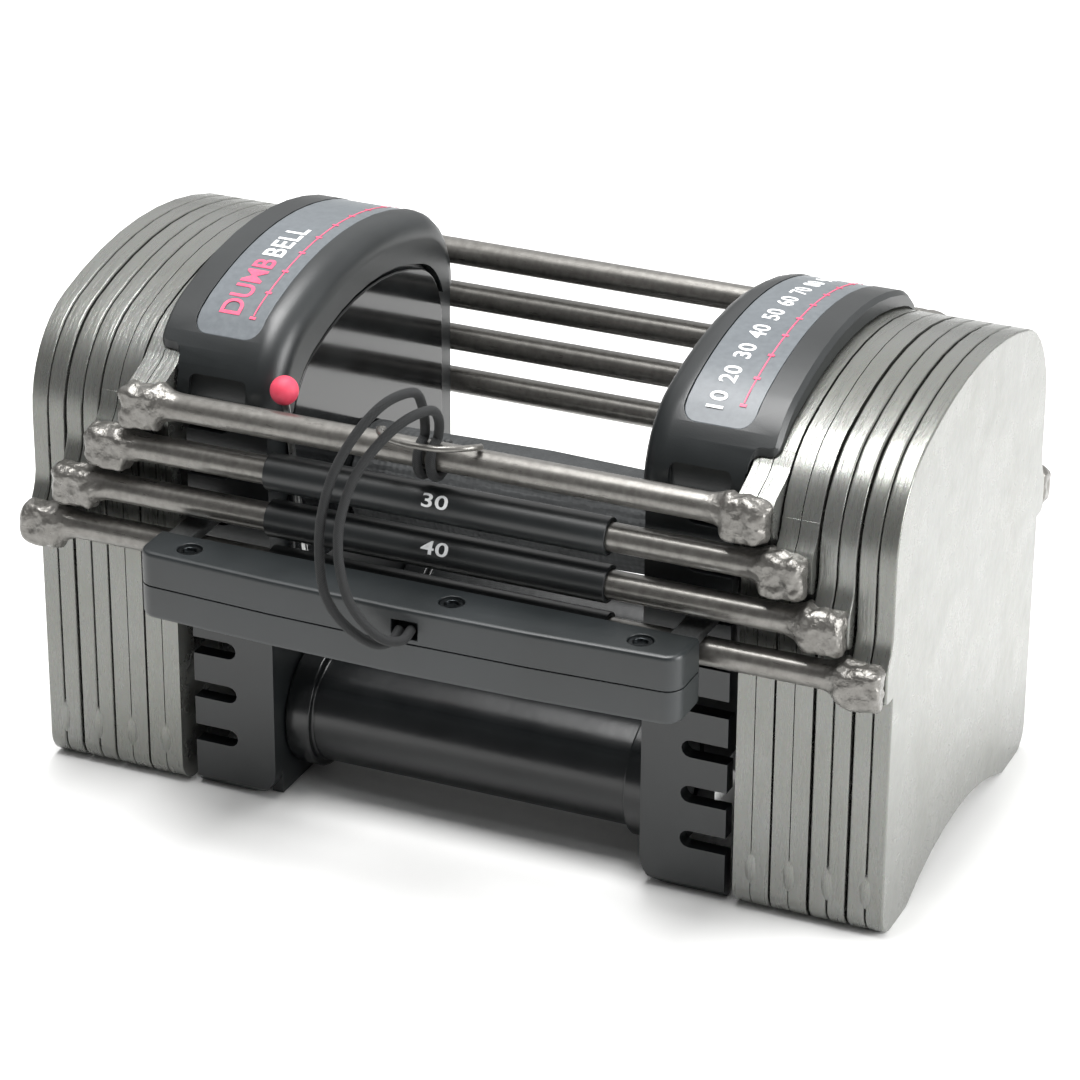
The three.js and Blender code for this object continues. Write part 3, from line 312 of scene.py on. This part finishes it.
def apply(piece, kind, **settings):
    """Adds a modifier and applies it."""
    only(piece)
    made = piece.modifiers.new(kind.lower(), kind)
    for name, value in settings.items():
        setattr(made, name, value)
    bpy.ops.object.modifier_apply(modifier=made.name)


def round_edges(piece, width, segments=2, angle=35):
    """Rounds the sharp edges of a piece by a width in mm."""
    apply(
        piece, "BEVEL", width=width * MM, segments=segments, limit_method="ANGLE",
        angle_limit=math.radians(angle), harden_normals=False, use_clamp_overlap=True,
    )
    smooth(piece, 45)
    apply(piece, "WEIGHTED_NORMAL", keep_sharp=True, weight=60)


def smooth(piece, angle=40):
    only(piece)
    bpy.ops.object.shade_smooth_by_angle(angle=math.radians(angle))


def settle(piece, body, material):
    """Gives a finished piece its material, body and slot."""
    only(piece)
    bpy.ops.object.transform_apply(location=True, rotation=True, scale=True)
    piece.data.materials.clear()
    piece.data.materials.append(material)
    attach(piece, body)


def face_outwards(piece):
    only(piece)
    bpy.ops.object.mode_set(mode="EDIT")
    bpy.ops.mesh.select_all(action="SELECT")
    bpy.ops.mesh.remove_doubles(threshold=0.000005)
    bpy.ops.mesh.normals_make_consistent(inside=False)
    bpy.ops.object.mode_set(mode="OBJECT")


def join_into(name, pieces):
    only(pieces[0])
    for piece in pieces:
        piece.select_set(True)
    bpy.context.view_layer.objects.active = pieces[0]
    bpy.ops.object.join()
    pieces[0].name = name
    return pieces[0]


def choose(piece, wanted):
    """In edit mode, selects faces by a test on their centre, in mm from the axis, and normal."""
    bpy.ops.mesh.select_mode(type="FACE")
    bpy.ops.mesh.select_all(action="DESELECT")
    bpy.ops.object.mode_set(mode="OBJECT")
    for face in piece.data.polygons:
        centre = piece.matrix_world @ face.center
        face.select = wanted(centre / MM - Vector((0, SHIFT_Y, 0)), face.normal)
    bpy.ops.object.mode_set(mode="EDIT")


# ---- materials ----


def plate_enamel():
    # Metallic grey stoving enamel over sheared and rolled mild steel plate: semi-gloss, with the
    # shear's fine grain showing through along the edge as broken streaks of light.
    material, tree, shader, place = new_material("metallic_grey_enamel_on_rolled_steel")
    along = add(tree, "ShaderNodeMapping", {"Scale": (3.2, 0.35, 0.35)}, {"Vector": place})
    streaks = add(
        tree, "ShaderNodeTexNoise", {"Scale": per_mm(4.5), "Detail": 5.0, "Roughness": 0.62},
        {"Vector": along.outputs["Vector"]},
    )
    cloud = add(
        tree, "ShaderNodeTexNoise", {"Scale": per_mm(38), "Detail": 3.0}, {"Vector": place}
    )
    # flake of the metallic paint, real size about 0.05 mm, drawn at 0.5 mm so that it shows
    flake = add(tree, "ShaderNodeTexVoronoi", {"Scale": per_mm(0.5)}, {"Vector": place})
    tone = spread(tree, cloud.outputs["Fac"], "#73746f", "#7b7c79")
    sparkle = add(
        tree, "ShaderNodeMix", {"Factor": 0.06}, {6: tone, 7: flake.outputs["Color"]},
        data_type="RGBA", blend_type="SOFT_LIGHT",
    )
    tree.links.new(sparkle.outputs[2], shader.inputs["Base Color"])
    gloss = between(tree, streaks.outputs["Fac"], 0.16, 0.42)
    tree.links.new(gloss, shader.inputs["Roughness"])
    orange_peel = add(
        tree, "ShaderNodeTexNoise", {"Scale": per_mm(1.4), "Detail": 2.0}, {"Vector": place}
    )
    coarse = add(
        tree, "ShaderNodeBump", {"Strength": 0.55, "Distance": 0.0004},
        {"Height": streaks.outputs["Fac"]},
    )
    fine = add(
        tree, "ShaderNodeBump", {"Strength": 0.25, "Distance": 0.00008},
        {"Height": orange_peel.outputs["Fac"], "Normal": coarse.outputs["Normal"]},
    )
    tree.links.new(fine.outputs["Normal"], shader.inputs["Normal"])
    shader.inputs["Metallic"].default_value = 0.62
    shader.inputs["Coat Weight"].default_value = 0.25
    shader.inputs["Coat Roughness"].default_value = 0.2
    return material


def rail_enamel():
    # The same metallic enamel over drawn round bar and its weld beads: smoother and a little
    # darker, with the ripple of the weld left under the paint at the ends.
    material, tree, shader, place = new_material("metallic_grey_enamel_on_round_bar")
    drawn = add(tree, "ShaderNodeMapping", {"Scale": (0.12, 1.0, 1.0)}, {"Vector": place})
    lines = add(
        tree, "ShaderNodeTexNoise", {"Scale": per_mm(1.2), "Detail": 4.0},
        {"Vector": drawn.outputs["Vector"]},
    )
    ripple = add(
        tree, "ShaderNodeTexNoise", {"Scale": per_mm(2.6), "Detail": 4.0, "Roughness": 0.6},
        {"Vector": place},
    )
    at_weld = add(tree, "ShaderNodeAttribute", attribute_name="weld_share")
    tone = spread(tree, ripple.outputs["Fac"], "#65635f", "#7c7a76")
    tree.links.new(tone, shader.inputs["Base Color"])
    tree.links.new(
        between(tree, lines.outputs["Fac"], 0.22, 0.38), shader.inputs["Roughness"]
    )
    bar = add(
        tree, "ShaderNodeBump", {"Strength": 0.12, "Distance": 0.00005},
        {"Height": lines.outputs["Fac"]},
    )
    weld = add(
        tree, "ShaderNodeBump", {"Distance": 0.0007},
        {
            "Height": ripple.outputs["Fac"], "Normal": bar.outputs["Normal"],
            "Strength": at_weld.outputs["Fac"],
        },
    )
    tree.links.new(weld.outputs["Normal"], shader.inputs["Normal"])
    shader.inputs["Metallic"].default_value = 0.65
    shader.inputs["Coat Weight"].default_value = 0.3
    shader.inputs["Coat Roughness"].default_value = 0.15
    return material


def moulded_nylon(name, dark, light, rough, grain_mm):
    # Glass-filled nylon from a spark-eroded mould: a satin black with a fine even grain and
    # slightly polished high spots.
    material, tree, shader, place = new_material(name)
    grain = add(
        tree, "ShaderNodeTexNoise", {"Scale": per_mm(grain_mm), "Detail": 3.0}, {"Vector": place}
    )
    cloud = add(
        tree, "ShaderNodeTexNoise", {"Scale": per_mm(30), "Detail": 4.0}, {"Vector": place}
    )
    tone = spread(tree, cloud.outputs["Fac"], dark, light)
    tree.links.new(tone, shader.inputs["Base Color"])
    tree.links.new(
        between(tree, cloud.outputs["Fac"], rough - 0.06, rough + 0.08),
        shader.inputs["Roughness"],
    )
    bump = add(
        tree, "ShaderNodeBump", {"Strength": 0.35, "Distance": 0.00006},
        {"Height": grain.outputs["Fac"]},
    )
    tree.links.new(bump.outputs["Normal"], shader.inputs["Normal"])
    shader.inputs["IOR"].default_value = 1.53
    return material


def glossy(name, base, rough, wave_mm, wave_strength, ior=1.5, coat=0.0):
    # Black stoving enamel or polished plastic: near mirror gloss with a faint long wave, and
    # handling haze that varies the gloss.
    material, tree, shader, place = new_material(name)
    wave = add(
        tree, "ShaderNodeTexNoise", {"Scale": per_mm(wave_mm), "Detail": 1.0}, {"Vector": place}
    )
    haze = add(
        tree, "ShaderNodeTexNoise", {"Scale": per_mm(14), "Detail": 5.0}, {"Vector": place}
    )
    tone = spread(tree, haze.outputs["Fac"], base, "#17191a")
    tree.links.new(tone, shader.inputs["Base Color"])
    tree.links.new(
        between(tree, haze.outputs["Fac"], rough, rough + 0.07), shader.inputs["Roughness"]
    )
    bump = add(
        tree, "ShaderNodeBump", {"Strength": wave_strength, "Distance": 0.0003},
        {"Height": wave.outputs["Fac"]},
    )
    tree.links.new(bump.outputs["Normal"], shader.inputs["Normal"])
    shader.inputs["IOR"].default_value = ior
    shader.inputs["Coat Weight"].default_value = coat
    shader.inputs["Coat Roughness"].default_value = 0.03
    return material


def plated_steel(name, low, high, rough):
    # Bright zinc plate over drawn steel: a cool metal with fine draw lines.
    material, tree, shader, place = new_material(name)
    lines = add(
        tree, "ShaderNodeTexNoise", {"Scale": per_mm(0.9), "Detail": 4.0}, {"Vector": place}
    )
    tree.links.new(spread(tree, lines.outputs["Fac"], low, high), shader.inputs["Base Color"])
    tree.links.new(
        between(tree, lines.outputs["Fac"], rough - 0.06, rough + 0.1),
        shader.inputs["Roughness"],
    )
    bump = add(
        tree, "ShaderNodeBump", {"Strength": 0.2, "Distance": 0.00005},
        {"Height": lines.outputs["Fac"]},
    )
    tree.links.new(bump.outputs["Normal"], shader.inputs["Normal"])
    shader.inputs["Metallic"].default_value = 1.0
    return material


def printed_film(name, low, high, rough):
    # Screen print on polyester film: an even colour with the ink's faint mottle and a satin skin.
    material, tree, shader, place = new_material(name)
    mottle = add(
        tree, "ShaderNodeTexNoise", {"Scale": per_mm(2.2), "Detail": 4.0}, {"Vector": place}
    )
    tree.links.new(spread(tree, mottle.outputs["Fac"], low, high), shader.inputs["Base Color"])
    tree.links.new(
        between(tree, mottle.outputs["Fac"], rough - 0.05, rough + 0.05),
        shader.inputs["Roughness"],
    )
    bump = add(
        tree, "ShaderNodeBump", {"Strength": 0.1, "Distance": 0.00003},
        {"Height": mottle.outputs["Fac"]},
    )
    tree.links.new(bump.outputs["Normal"], shader.inputs["Normal"])
    return material


def dipped_vinyl():
    # Pink-red dipped vinyl: matte and slightly soft, with tiny pits and a lighter bloom.
    material, tree, shader, place = new_material("pink_dipped_vinyl")
    pits = add(
        tree, "ShaderNodeTexNoise", {"Scale": per_mm(0.8), "Detail": 4.0}, {"Vector": place}
    )
    bloom = add(
        tree, "ShaderNodeTexNoise", {"Scale": per_mm(5), "Detail": 2.0}, {"Vector": place}
    )
    tree.links.new(
        spread(tree, bloom.outputs["Fac"], "#c9344c", "#d54860"), shader.inputs["Base Color"]
    )
    tree.links.new(
        between(tree, pits.outputs["Fac"], 0.5, 0.7), shader.inputs["Roughness"]
    )
    bump = add(
        tree, "ShaderNodeBump", {"Strength": 0.4, "Distance": 0.0001},
        {"Height": pits.outputs["Fac"]},
    )
    tree.links.new(bump.outputs["Normal"], shader.inputs["Normal"])
    shader.inputs["Subsurface Weight"].default_value = 0.05
    return material


def braided_cord():
    # Braided polyester sleeve over an elastic core: a diagonal over-and-under weave, dull sheen.
    material, tree, shader, _ = new_material("braided_polyester_cord")
    chart = add(tree, "ShaderNodeUVMap", uv_map="UVMap")
    split = add(tree, "ShaderNodeSeparateXYZ", links={"Vector": chart.outputs["UV"]})
    # twelve strands each way round a 3.2 mm cord, crossing every 0.5 mm along it
    turns = add(tree, "ShaderNodeMath", {1: 12.0}, {0: split.outputs["X"]}, operation="MULTIPLY")
    crossings = add(
        tree, "ShaderNodeMath", {1: 6.0}, {0: split.outputs["Y"]}, operation="MULTIPLY"
    )
    waves = []
    for operation in ("ADD", "SUBTRACT"):
        slant = add(
            tree, "ShaderNodeMath",
            links={0: turns.outputs["Value"], 1: crossings.outputs["Value"]},
            operation=operation,
        )
        angle = add(
            tree, "ShaderNodeMath", {1: math.pi}, {0: slant.outputs["Value"]},
            operation="MULTIPLY",
        )
        wave = add(tree, "ShaderNodeMath", links={0: angle.outputs["Value"]}, operation="SINE")
        waves.append(
            add(tree, "ShaderNodeMath", links={0: wave.outputs["Value"]}, operation="ABSOLUTE")
        )
    weave = add(
        tree, "ShaderNodeMath",
        links={0: waves[0].outputs["Value"], 1: waves[1].outputs["Value"]},
        operation="MULTIPLY",
    )
    tree.links.new(
        spread(tree, weave.outputs["Value"], "#0e0f10", "#1d1f20"), shader.inputs["Base Color"]
    )
    tree.links.new(
        between(tree, weave.outputs["Value"], 0.9, 0.6), shader.inputs["Roughness"]
    )
    bump = add(
        tree, "ShaderNodeBump", {"Strength": 0.45, "Distance": 0.0002},
        {"Height": weave.outputs["Value"]},
    )
    tree.links.new(bump.outputs["Normal"], shader.inputs["Normal"])
    shader.inputs["Sheen Weight"].default_value = 0.03
    shader.inputs["Sheen Roughness"].default_value = 0.5
    return material


def grip_rubber():
    # Moulded rubber with a diamond knurl of 2.4 mm pitch: dull, slightly dusty on the high points.
    material, tree, shader, place = new_material("moulded_grip_rubber")
    knurl = add(
        tree, "ShaderNodeTexVoronoi", {"Scale": per_mm(2.4), "Randomness": 0.15},
        {"Vector": place}, distance="MANHATTAN",
    )
    dust = add(
        tree, "ShaderNodeTexNoise", {"Scale": per_mm(7), "Detail": 5.0}, {"Vector": place}
    )
    tree.links.new(
        spread(tree, dust.outputs["Fac"], "#2b2d2e", "#3b3d3e"), shader.inputs["Base Color"]
    )
    tree.links.new(
        between(tree, dust.outputs["Fac"], 0.62, 0.85), shader.inputs["Roughness"]
    )
    bump = add(
        tree, "ShaderNodeBump", {"Strength": 0.7, "Distance": 0.0006},
        {"Height": knurl.outputs["Distance"]},
    )
    tree.links.new(bump.outputs["Normal"], shader.inputs["Normal"])
    return material


ENAMEL = plate_enamel()
RAIL = rail_enamel()
NYLON = moulded_nylon("moulded_black_nylon", "#16191a", "#212425", 0.36, 0.45)
BAR_NYLON = moulded_nylon("moulded_black_nylon_bar", "#191d1e", "#24282a", 0.4, 0.5)
SLEEVE = moulded_nylon("black_pvc_sleeve", "#17191a", "#212425", 0.33, 0.8)
PANEL_GLOSS = glossy("polished_black_panel", "#0b0c0d", 0.05, 40, 0.04, 1.45)
TUBE_ENAMEL = glossy("gloss_black_stoved_tube", "#0f1112", 0.2, 3, 0.1)
WIRE = plated_steel("bright_zinc_wire", "#8f908f", "#a9aaa8", 0.28)
BLACK_OXIDE = plated_steel("black_oxide_screw", "#303335", "#4a4e50", 0.32)
TINE_STEEL = plated_steel("zinc_plated_tine", "#8b8d8e", "#a2a4a5", 0.35)
ADDER_STEEL = plated_steel("turned_steel_weight", "#7e8081", "#9a9c9d", 0.4)
FILM = printed_film("grey_polyester_label", "#595e62", "#63686c", 0.34)
WHITE_INK = printed_film("white_screen_ink", "#e4e6e7", "#f1f2f2", 0.45)
PINK_INK = printed_film("pink_screen_ink", "#d9486a", "#e35a79", 0.45)
VINYL = dipped_vinyl()
BRAID = braided_cord()
RUBBER = grip_rubber()


# ---- cords: finish and fixings ----

for side in SIDES:
    cord = cords[side]
    cord.data.materials.append(BRAID)
    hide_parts(f"tether_cord_{side}")
    line = cord_lines[side]
    tuple(line[0])
    round(run_length(line), 4)
    [tuple(point) for point in line]
    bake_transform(cord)


# ---- plates ----

plate_names = [f"plate_{n}_{s}_{w}" for n in LAYERS for s in SIDES for w in ("inner", "outer")]
for name in plate_names:
    plate = copy_of(name, name.replace("plate", "steel_plate"))
    round_edges(plate, 0.75, 3)
    settle(plate, f"layer_{name.split('_')[1]}", ENAMEL)


# ---- rails with their welded ends ----


PLATE_INNER_FACES = {"20": 100.9, "30": 114.0, "40": 127.1, "50": 140.2}
WELD_REACH = 10  # the weld starts this far inside the plate's face
WELD_FADE = 8  # and grows to its full lumps over this length


def rail_piece(layer, place):
    """A round bar whose welded ends are lumpy, made from the CAD rail."""
    depth = -RAIL_Y if place == "front" else RAIL_Y
    axis = mm(0, depth, RAIL_HEIGHTS[layer])
    flare = PLATE_INNER_FACES[layer] - WELD_REACH

    def weld_share(vertex):
        return min(max((abs(vertex.co.x) / MM - flare) / WELD_FADE, 0), 1)

    rail = copy_of(f"rail_{layer}_{place}", f"welded_rail_{layer}_{place}")
    apply(rail, "REMESH", mode="VOXEL", voxel_size=0.0007, adaptivity=0.0)
    weld = rail.vertex_groups.new(name="weld")
    for vertex in rail.data.vertices:
        share = weld_share(vertex)
        if share > 0:
            weld.add([vertex.index], share, "REPLACE")
    apply(rail, "SMOOTH", factor=0.5, iterations=14, vertex_group="weld")
    lumps = bpy.data.textures.get("weld_lumps") or bpy.data.textures.new("weld_lumps", "CLOUDS")
    lumps.noise_scale = 0.0048
    lumps.noise_depth = 1
    apply(
        rail, "DISPLACE", texture=lumps, strength=0.0024, mid_level=0.42,
        vertex_group="weld", texture_coords="LOCAL",
    )
    mark = rail.data.attributes.new("weld_share", "FLOAT", "POINT")
    for vertex, value in zip(rail.data.vertices, mark.data):
        share = weld_share(vertex)
        value.value = share
        # the bare bar is drawn truly round
        off = Vector((0, vertex.co.y - axis.y, vertex.co.z - axis.z))
        if off.length > 0.7 * RAIL_RADIUS * MM and share < 1:
            true = off.normalized() * RAIL_RADIUS * MM
            vertex.co.y = axis.y + true.y + (off.y - true.y) * share
            vertex.co.z = axis.z + true.z + (off.z - true.z) * share
        # and the outermost welds are dressed flush with the overall length
        vertex.co.x = min(max(vertex.co.x, CAD_BOX[0][0]), CAD_BOX[1][0])
    smooth(rail, 80)
    return rail


for layer in LAYERS:
    for place in ("front", "back"):
        rail = rail_piece(layer, place)
        settle(rail, f"layer_{layer}", RAIL)


# ---- flush seam beads that hold the two plates of a pair together at the foot ----

PAIR_SEAMS = {"20": 107.05, "30": 120.15, "40": 133.25, "50": 146.35}
SEAM_Y, SEAM_Z = 73.35, 17.0


def seam_bead():
    bpy.ops.object.select_all(action="DESELECT")
    bpy.ops.mesh.primitive_uv_sphere_add(segments=16, ring_count=20, radius=MM)
    made = bpy.context.object
    made.name = "seam_bead"
    for vertex in made.data.vertices:
        vertex.co = Vector((vertex.co.x * 2.2, vertex.co.y * 1.1, vertex.co.z * 6.2))
    apply(
        made, "DISPLACE", texture=bpy.data.textures["weld_lumps"], strength=0.0006,
        mid_level=0.5, texture_coords="LOCAL",
    )
    smooth(made, 80)
    return made


first_bead = seam_bead()
for layer in LAYERS:
    beads = []
    for sign in (-1, 1):
        for face in (-1, 1):
            bead = first_bead.copy()
            bead.data = first_bead.data.copy()
            bpy.context.scene.collection.objects.link(bead)
            bead.location = mm(sign * PAIR_SEAMS[layer], face * SEAM_Y, SEAM_Z)
            only(bead)
            bpy.ops.object.transform_apply(location=True, rotation=True, scale=True)
            beads.append(bead)
    settle(join_into(f"seam_beads_{layer}", beads), f"layer_{layer}", ENAMEL)
bpy.data.objects.remove(first_bead)


# ---- sleeves and their numerals ----

for layer in LAYERS[1:]:
    sleeve = copy_of(f"sleeve_{layer}", f"numbered_sleeve_{layer}")
    round_edges(sleeve, 0.35, 2)
    settle(sleeve, f"layer_{layer}", SLEEVE)


def flat_text(name, words, height, wide=1.0):
    """Numerals as a thin flat mesh, centred, in mm in its own plane."""
    bpy.ops.object.select_all(action="DESELECT")
    bpy.ops.object.text_add()
    made = bpy.context.object
    made.name = name
    made.data.body = words
    made.data.align_x = "CENTER"
    made.data.align_y = "CENTER"
    made.data.size = height / 0.7
    made.data.space_character = 1.05
    made.data.offset = 0.02 * height
    made.data.extrude = 0.05
    bpy.ops.object.convert(target="MESH")
    made = bpy.context.object
    # cut finely enough to follow the surface that it is wrapped on
    bpy.ops.object.mode_set(mode="EDIT")
    bpy.ops.mesh.select_all(action="SELECT")
    bpy.ops.mesh.remove_doubles(threshold=0.0001)
    bpy.ops.mesh.quads_convert_to_tris()
    bpy.ops.mesh.subdivide(number_cuts=2)
    bpy.ops.object.mode_set(mode="OBJECT")
    for vertex in made.data.vertices:
        vertex.co.x *= wide
    return made


def wrap(piece, place):
    """Moves each point (across, up, out) of a flat print, in mm, to where place puts it."""
    for vertex in piece.data.vertices:
        vertex.co = place(vertex.co.x, vertex.co.y, vertex.co.z)
    piece.data.update()
    face_outwards(piece)


def on_sleeve(layer, x0, angle0):
    height = RAIL_HEIGHTS[layer]

    def place(across, up, out):
        angle = math.radians(angle0) + up / SLEEVE_RADIUS
        radius = SLEEVE_RADIUS + 0.04 + out
        y = -RAIL_Y - radius * math.cos(angle)
        return mm(x0 + across, y, height + radius * math.sin(angle))

    return place


for layer in LAYERS[1:]:
    numeral = flat_text(f"numeral_sleeve_{layer}", layer, 4.4, 1.5)
    wrap(numeral, on_sleeve(layer, 1.3, 28))
    settle(numeral, f"layer_{layer}", WHITE_INK)


# ---- core: frames, covers, panels ----

for side in SIDES:
    comb = copy_of(f"end_frame_{side}", f"slotted_frame_{side}")
    round_edges(comb, 0.6, 2)
    settle(comb, "core", NYLON)

    cover = copy_of(f"cover_{side}", f"saddle_cover_{side}")
    round_edges(cover, 1.1, 3)
    settle(cover, "core", NYLON)

    panel = copy_of(f"inner_panel_{side}", f"arched_panel_{side}")
    round_edges(panel, 0.7, 3)
    settle(panel, "core", PANEL_GLOSS)

    plaque = copy_of(f"label_plaque_{side}", f"scale_plaque_{side}")
    round_edges(plaque, 0.3, 2)
    settle(plaque, "core", FILM)


def on_cover(x0, along0, lift):
    """Lays a flat print on the plaque: up points to -X, and it reads from front to back."""
    radius, centre = COVER_CROWN
    shoulder, shoulder_y, shoulder_z = COVER_SHOULDER

    def place(across, up, out):
        along = along0 + across
        side = math.copysign(1, along)
        rest = abs(along) - radius * COVER_TANGENT
        if rest <= 0:
            angle = along / radius
            reach = radius + lift + out
            return mm(x0 - up, reach * math.sin(angle), centre + reach * math.cos(angle))
        angle = COVER_TANGENT + rest / shoulder
        reach = shoulder + lift + out
        y = side * (shoulder_y + reach * math.sin(angle))
        return mm(x0 - up, y, shoulder_z + reach * math.cos(angle))

    return place


def strip(name, width, length, steps):
    """A thin flat strip, in mm in its own plane, cut into steps along its length."""
    bpy.ops.object.select_all(action="DESELECT")
    bpy.ops.mesh.primitive_grid_add(x_subdivisions=steps, y_subdivisions=1, size=1)
    made = bpy.context.object
    made.name = name
    for vertex in made.data.vertices:
        vertex.co.x *= length
        vertex.co.y *= width
    apply(made, "SOLIDIFY", thickness=0.1, offset=0)
    return made


SCALE_PLACES = [-57 + 12.6 * k for k in range(9)]  # of the nine marks along the crown
NUMERAL_X = 84.4
LINE_X = {"left": -79.2, "right": 93.0}
LETTERING_X = -87.6

scale_marks = []
for k, along in enumerate(SCALE_PLACES):
    numeral = flat_text(f"numeral_plaque_{k}", str(10 * (k + 1)), 5.6, 1.05)
    wrap(numeral, on_cover(NUMERAL_X, along, -0.15))
    scale_marks.append(numeral)
numerals = join_into("numerals_right", scale_marks)
settle(numerals, "core", WHITE_INK)

for side in SIDES:
    line = strip(f"scale_line_{side}", 0.45, 112, 60)
    wrap(line, on_cover(LINE_X[side], 0, -0.12))
    ticks = [line]
    for k, along in enumerate(SCALE_PLACES):
        tick = strip(f"tick_{side}_{k}", 2.2, 1.1, 1)
        wrap(tick, on_cover(LINE_X[side], along, -0.1))
        ticks.append(tick)
    settle(join_into(f"scale_line_{side}", ticks), "core", PINK_INK)

# generic lettering in two colours on the left plaque
for words, along, ink in (("DUMB", -42, PINK_INK), ("BELL", -13.5, WHITE_INK)):
    lettering = flat_text(f"lettering_{words.lower()}", words, 7.4, 1.02)
    wrap(lettering, on_cover(LETTERING_X, along, -0.12))
    settle(lettering, "core", ink)

# ---- handle, side tubes, adder weights ----

handle = copy_of("handle_tube", "handle_bar")
smooth(handle)
settle(handle, "core", WIRE)

grip = copy_of("handle_grip", "rubber_grip")
round_edges(grip, 0.8, 3, 12)
settle(grip, "core", RUBBER)

for place in ("front", "back"):
    side_tube = copy_of(f"side_tube_{place}", f"gloss_side_tube_{place}")
    round_edges(side_tube, 0.8, 3)
    settle(side_tube, "core", TUBE_ENAMEL)
    weight = copy_of(f"adder_weight_{place}", f"turned_adder_weight_{place}")
    round_edges(weight, 1.0, 3)
    settle(weight, "core", ADDER_STEEL)

# ---- lock levers ----

for side in SIDES:
    lever = copy_of(f"lock_lever_{side}", f"wire_lever_{side}")
    smooth(lever, 60)
    settle(lever, f"lock_lever_{side}", WIRE)
    ball = copy_of(f"lever_ball_{side}", f"dipped_ball_{side}")
    apply(ball, "SUBSURF", levels=2, render_levels=2)
    smooth(ball, 60)
    settle(ball, f"lock_lever_{side}", VINYL)
    stud = copy_of(f"lever_stud_{side}", f"shoulder_stud_{side}")
    round_edges(stud, 0.4, 3)
    settle(stud, "core", WIRE)

# ---- selector pin ----

for half in ("upper", "lower"):
    piece = copy_of(f"pin_bar_{half}", f"selector_bar_{half}")
    round_edges(piece, 0.45, 2)
    settle(piece, "selector_pin", BAR_NYLON)

for side in SIDES:
    tine = copy_of(f"pin_tine_{side}", f"selector_tine_{side}")
    round_edges(tine, 0.6, 3)
    settle(tine, "selector_pin", TINE_STEEL)


def socket_screw(name, node):
    """A button-head screw with a hexagon socket, at the place of its CAD node."""
    low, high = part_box(node)
    middle = (low + high) / 2
    radius = (high.x - low.x) / 2
    head = 0.002
    bpy.ops.object.select_all(action="DESELECT")
    bpy.ops.mesh.primitive_cylinder_add(
        vertices=36, radius=radius, depth=head, location=(middle.x, middle.y, high.z - head / 2)
    )
    made = bpy.context.object
    made.name = name
    bpy.ops.object.mode_set(mode="EDIT")
    choose(made, lambda centre, normal: normal.z > 0.9)
    bpy.ops.mesh.inset(thickness=0.0007, depth=0.0)
    bpy.ops.mesh.inset(thickness=0.0009, depth=0.0)
    bpy.ops.mesh.extrude_region_move(TRANSFORM_OT_translate={"value": (0, 0, -0.0013)})
    bpy.ops.mesh.inset(thickness=0.0003, depth=0.0003)
    bpy.ops.object.mode_set(mode="OBJECT")
    bpy.ops.mesh.primitive_cylinder_add(
        vertices=24, radius=0.0016, depth=high.z - low.z - head,
        location=(middle.x, middle.y, (low.z + high.z - head) / 2),
    )
    made = join_into(name, [made, bpy.context.object])
    round_edges(made, 0.2, 2)
    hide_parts(node)
    return made


for k in (1, 2, 3):
    screw = socket_screw(f"socket_screw_{k}", f"pin_screw_{k}")
    settle(screw, "selector_pin", BLACK_OXIDE)

keeper = copy_of("cord_keeper", "wire_keeper")
smooth(keeper, 80)
settle(keeper, "layer_20", RAIL)

# every CAD node that still shows gets a finish of its own as well
for name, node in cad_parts.items():
    node.data.materials.clear()
    node.data.materials.append(ENAMEL if name.startswith("plate") else NYLON)

# ---- floor, light ----

bpy.ops.object.select_all(action="DESELECT")
bpy.ops.mesh.primitive_plane_add(size=12, location=(0, 0, 0))
floor = bpy.context.object
floor.name = "floor"
paper, paper_tree, paper_shader, paper_place = new_material("white_paper_sweep")
paper_grain = add(
    paper_tree, "ShaderNodeTexNoise", {"Scale": per_mm(60), "Detail": 2.0},
    {"Vector": paper_place},
)
paper_tree.links.new(
    spread(paper_tree, paper_grain.outputs["Fac"], "#f4f4f3", "#f8f8f7"),
    paper_shader.inputs["Base Color"],
)
paper_shader.inputs["Roughness"].default_value = 0.9
paper_shader.inputs["Specular IOR Level"].default_value = 0.1
floor.data.materials.append(paper)


def softbox(name, size, power, place, towards):
    data = bpy.data.lights.new(name, "AREA")
    data.shape = "RECTANGLE"
    data.size, data.size_y = size
    data.energy = power
    lamp = bpy.data.objects.new(name, data)
    lamp.location = place
    lamp.rotation_euler = (Vector(towards) - Vector(place)).to_track_quat("-Z", "Y").to_euler()
    bpy.context.scene.collection.objects.link(lamp)


softbox("overhead", (1.1, 0.45), 26, (-0.1, 0.0, 1.35), (0, 0, 0.08))
softbox("right", (1.0, 1.0), 36, (1.7, 0.1, 0.6), (0, 0, 0.08))

world = bpy.data.worlds.new("studio")
world.use_nodes = True
sky_tree = world.node_tree
sky_place = add(sky_tree, "ShaderNodeTexCoord")
# bright overhead and behind the object, down to the horizon, and dim in front of it
sky_height = add(
    sky_tree, "ShaderNodeVectorMath", {1: (0.0, 0.45, 1.0)},
    {0: sky_place.outputs["Generated"]}, operation="DOT_PRODUCT",
)
sky_light = add(
    sky_tree, "ShaderNodeMapRange",
    {"From Min": 0.25, "From Max": 0.85, "To Min": 0.12, "To Max": 1.0},
    {"Value": sky_height.outputs["Value"]}, interpolation_type="SMOOTHSTEP",
)
sky = sky_tree.nodes["Background"]
sky.inputs["Color"].default_value = srgb("#ffffff")
sky_tree.links.new(sky_light.outputs["Result"], sky.inputs["Strength"])
bpy.context.scene.world = world
bpy.context.scene.view_settings.view_transform = "Standard"
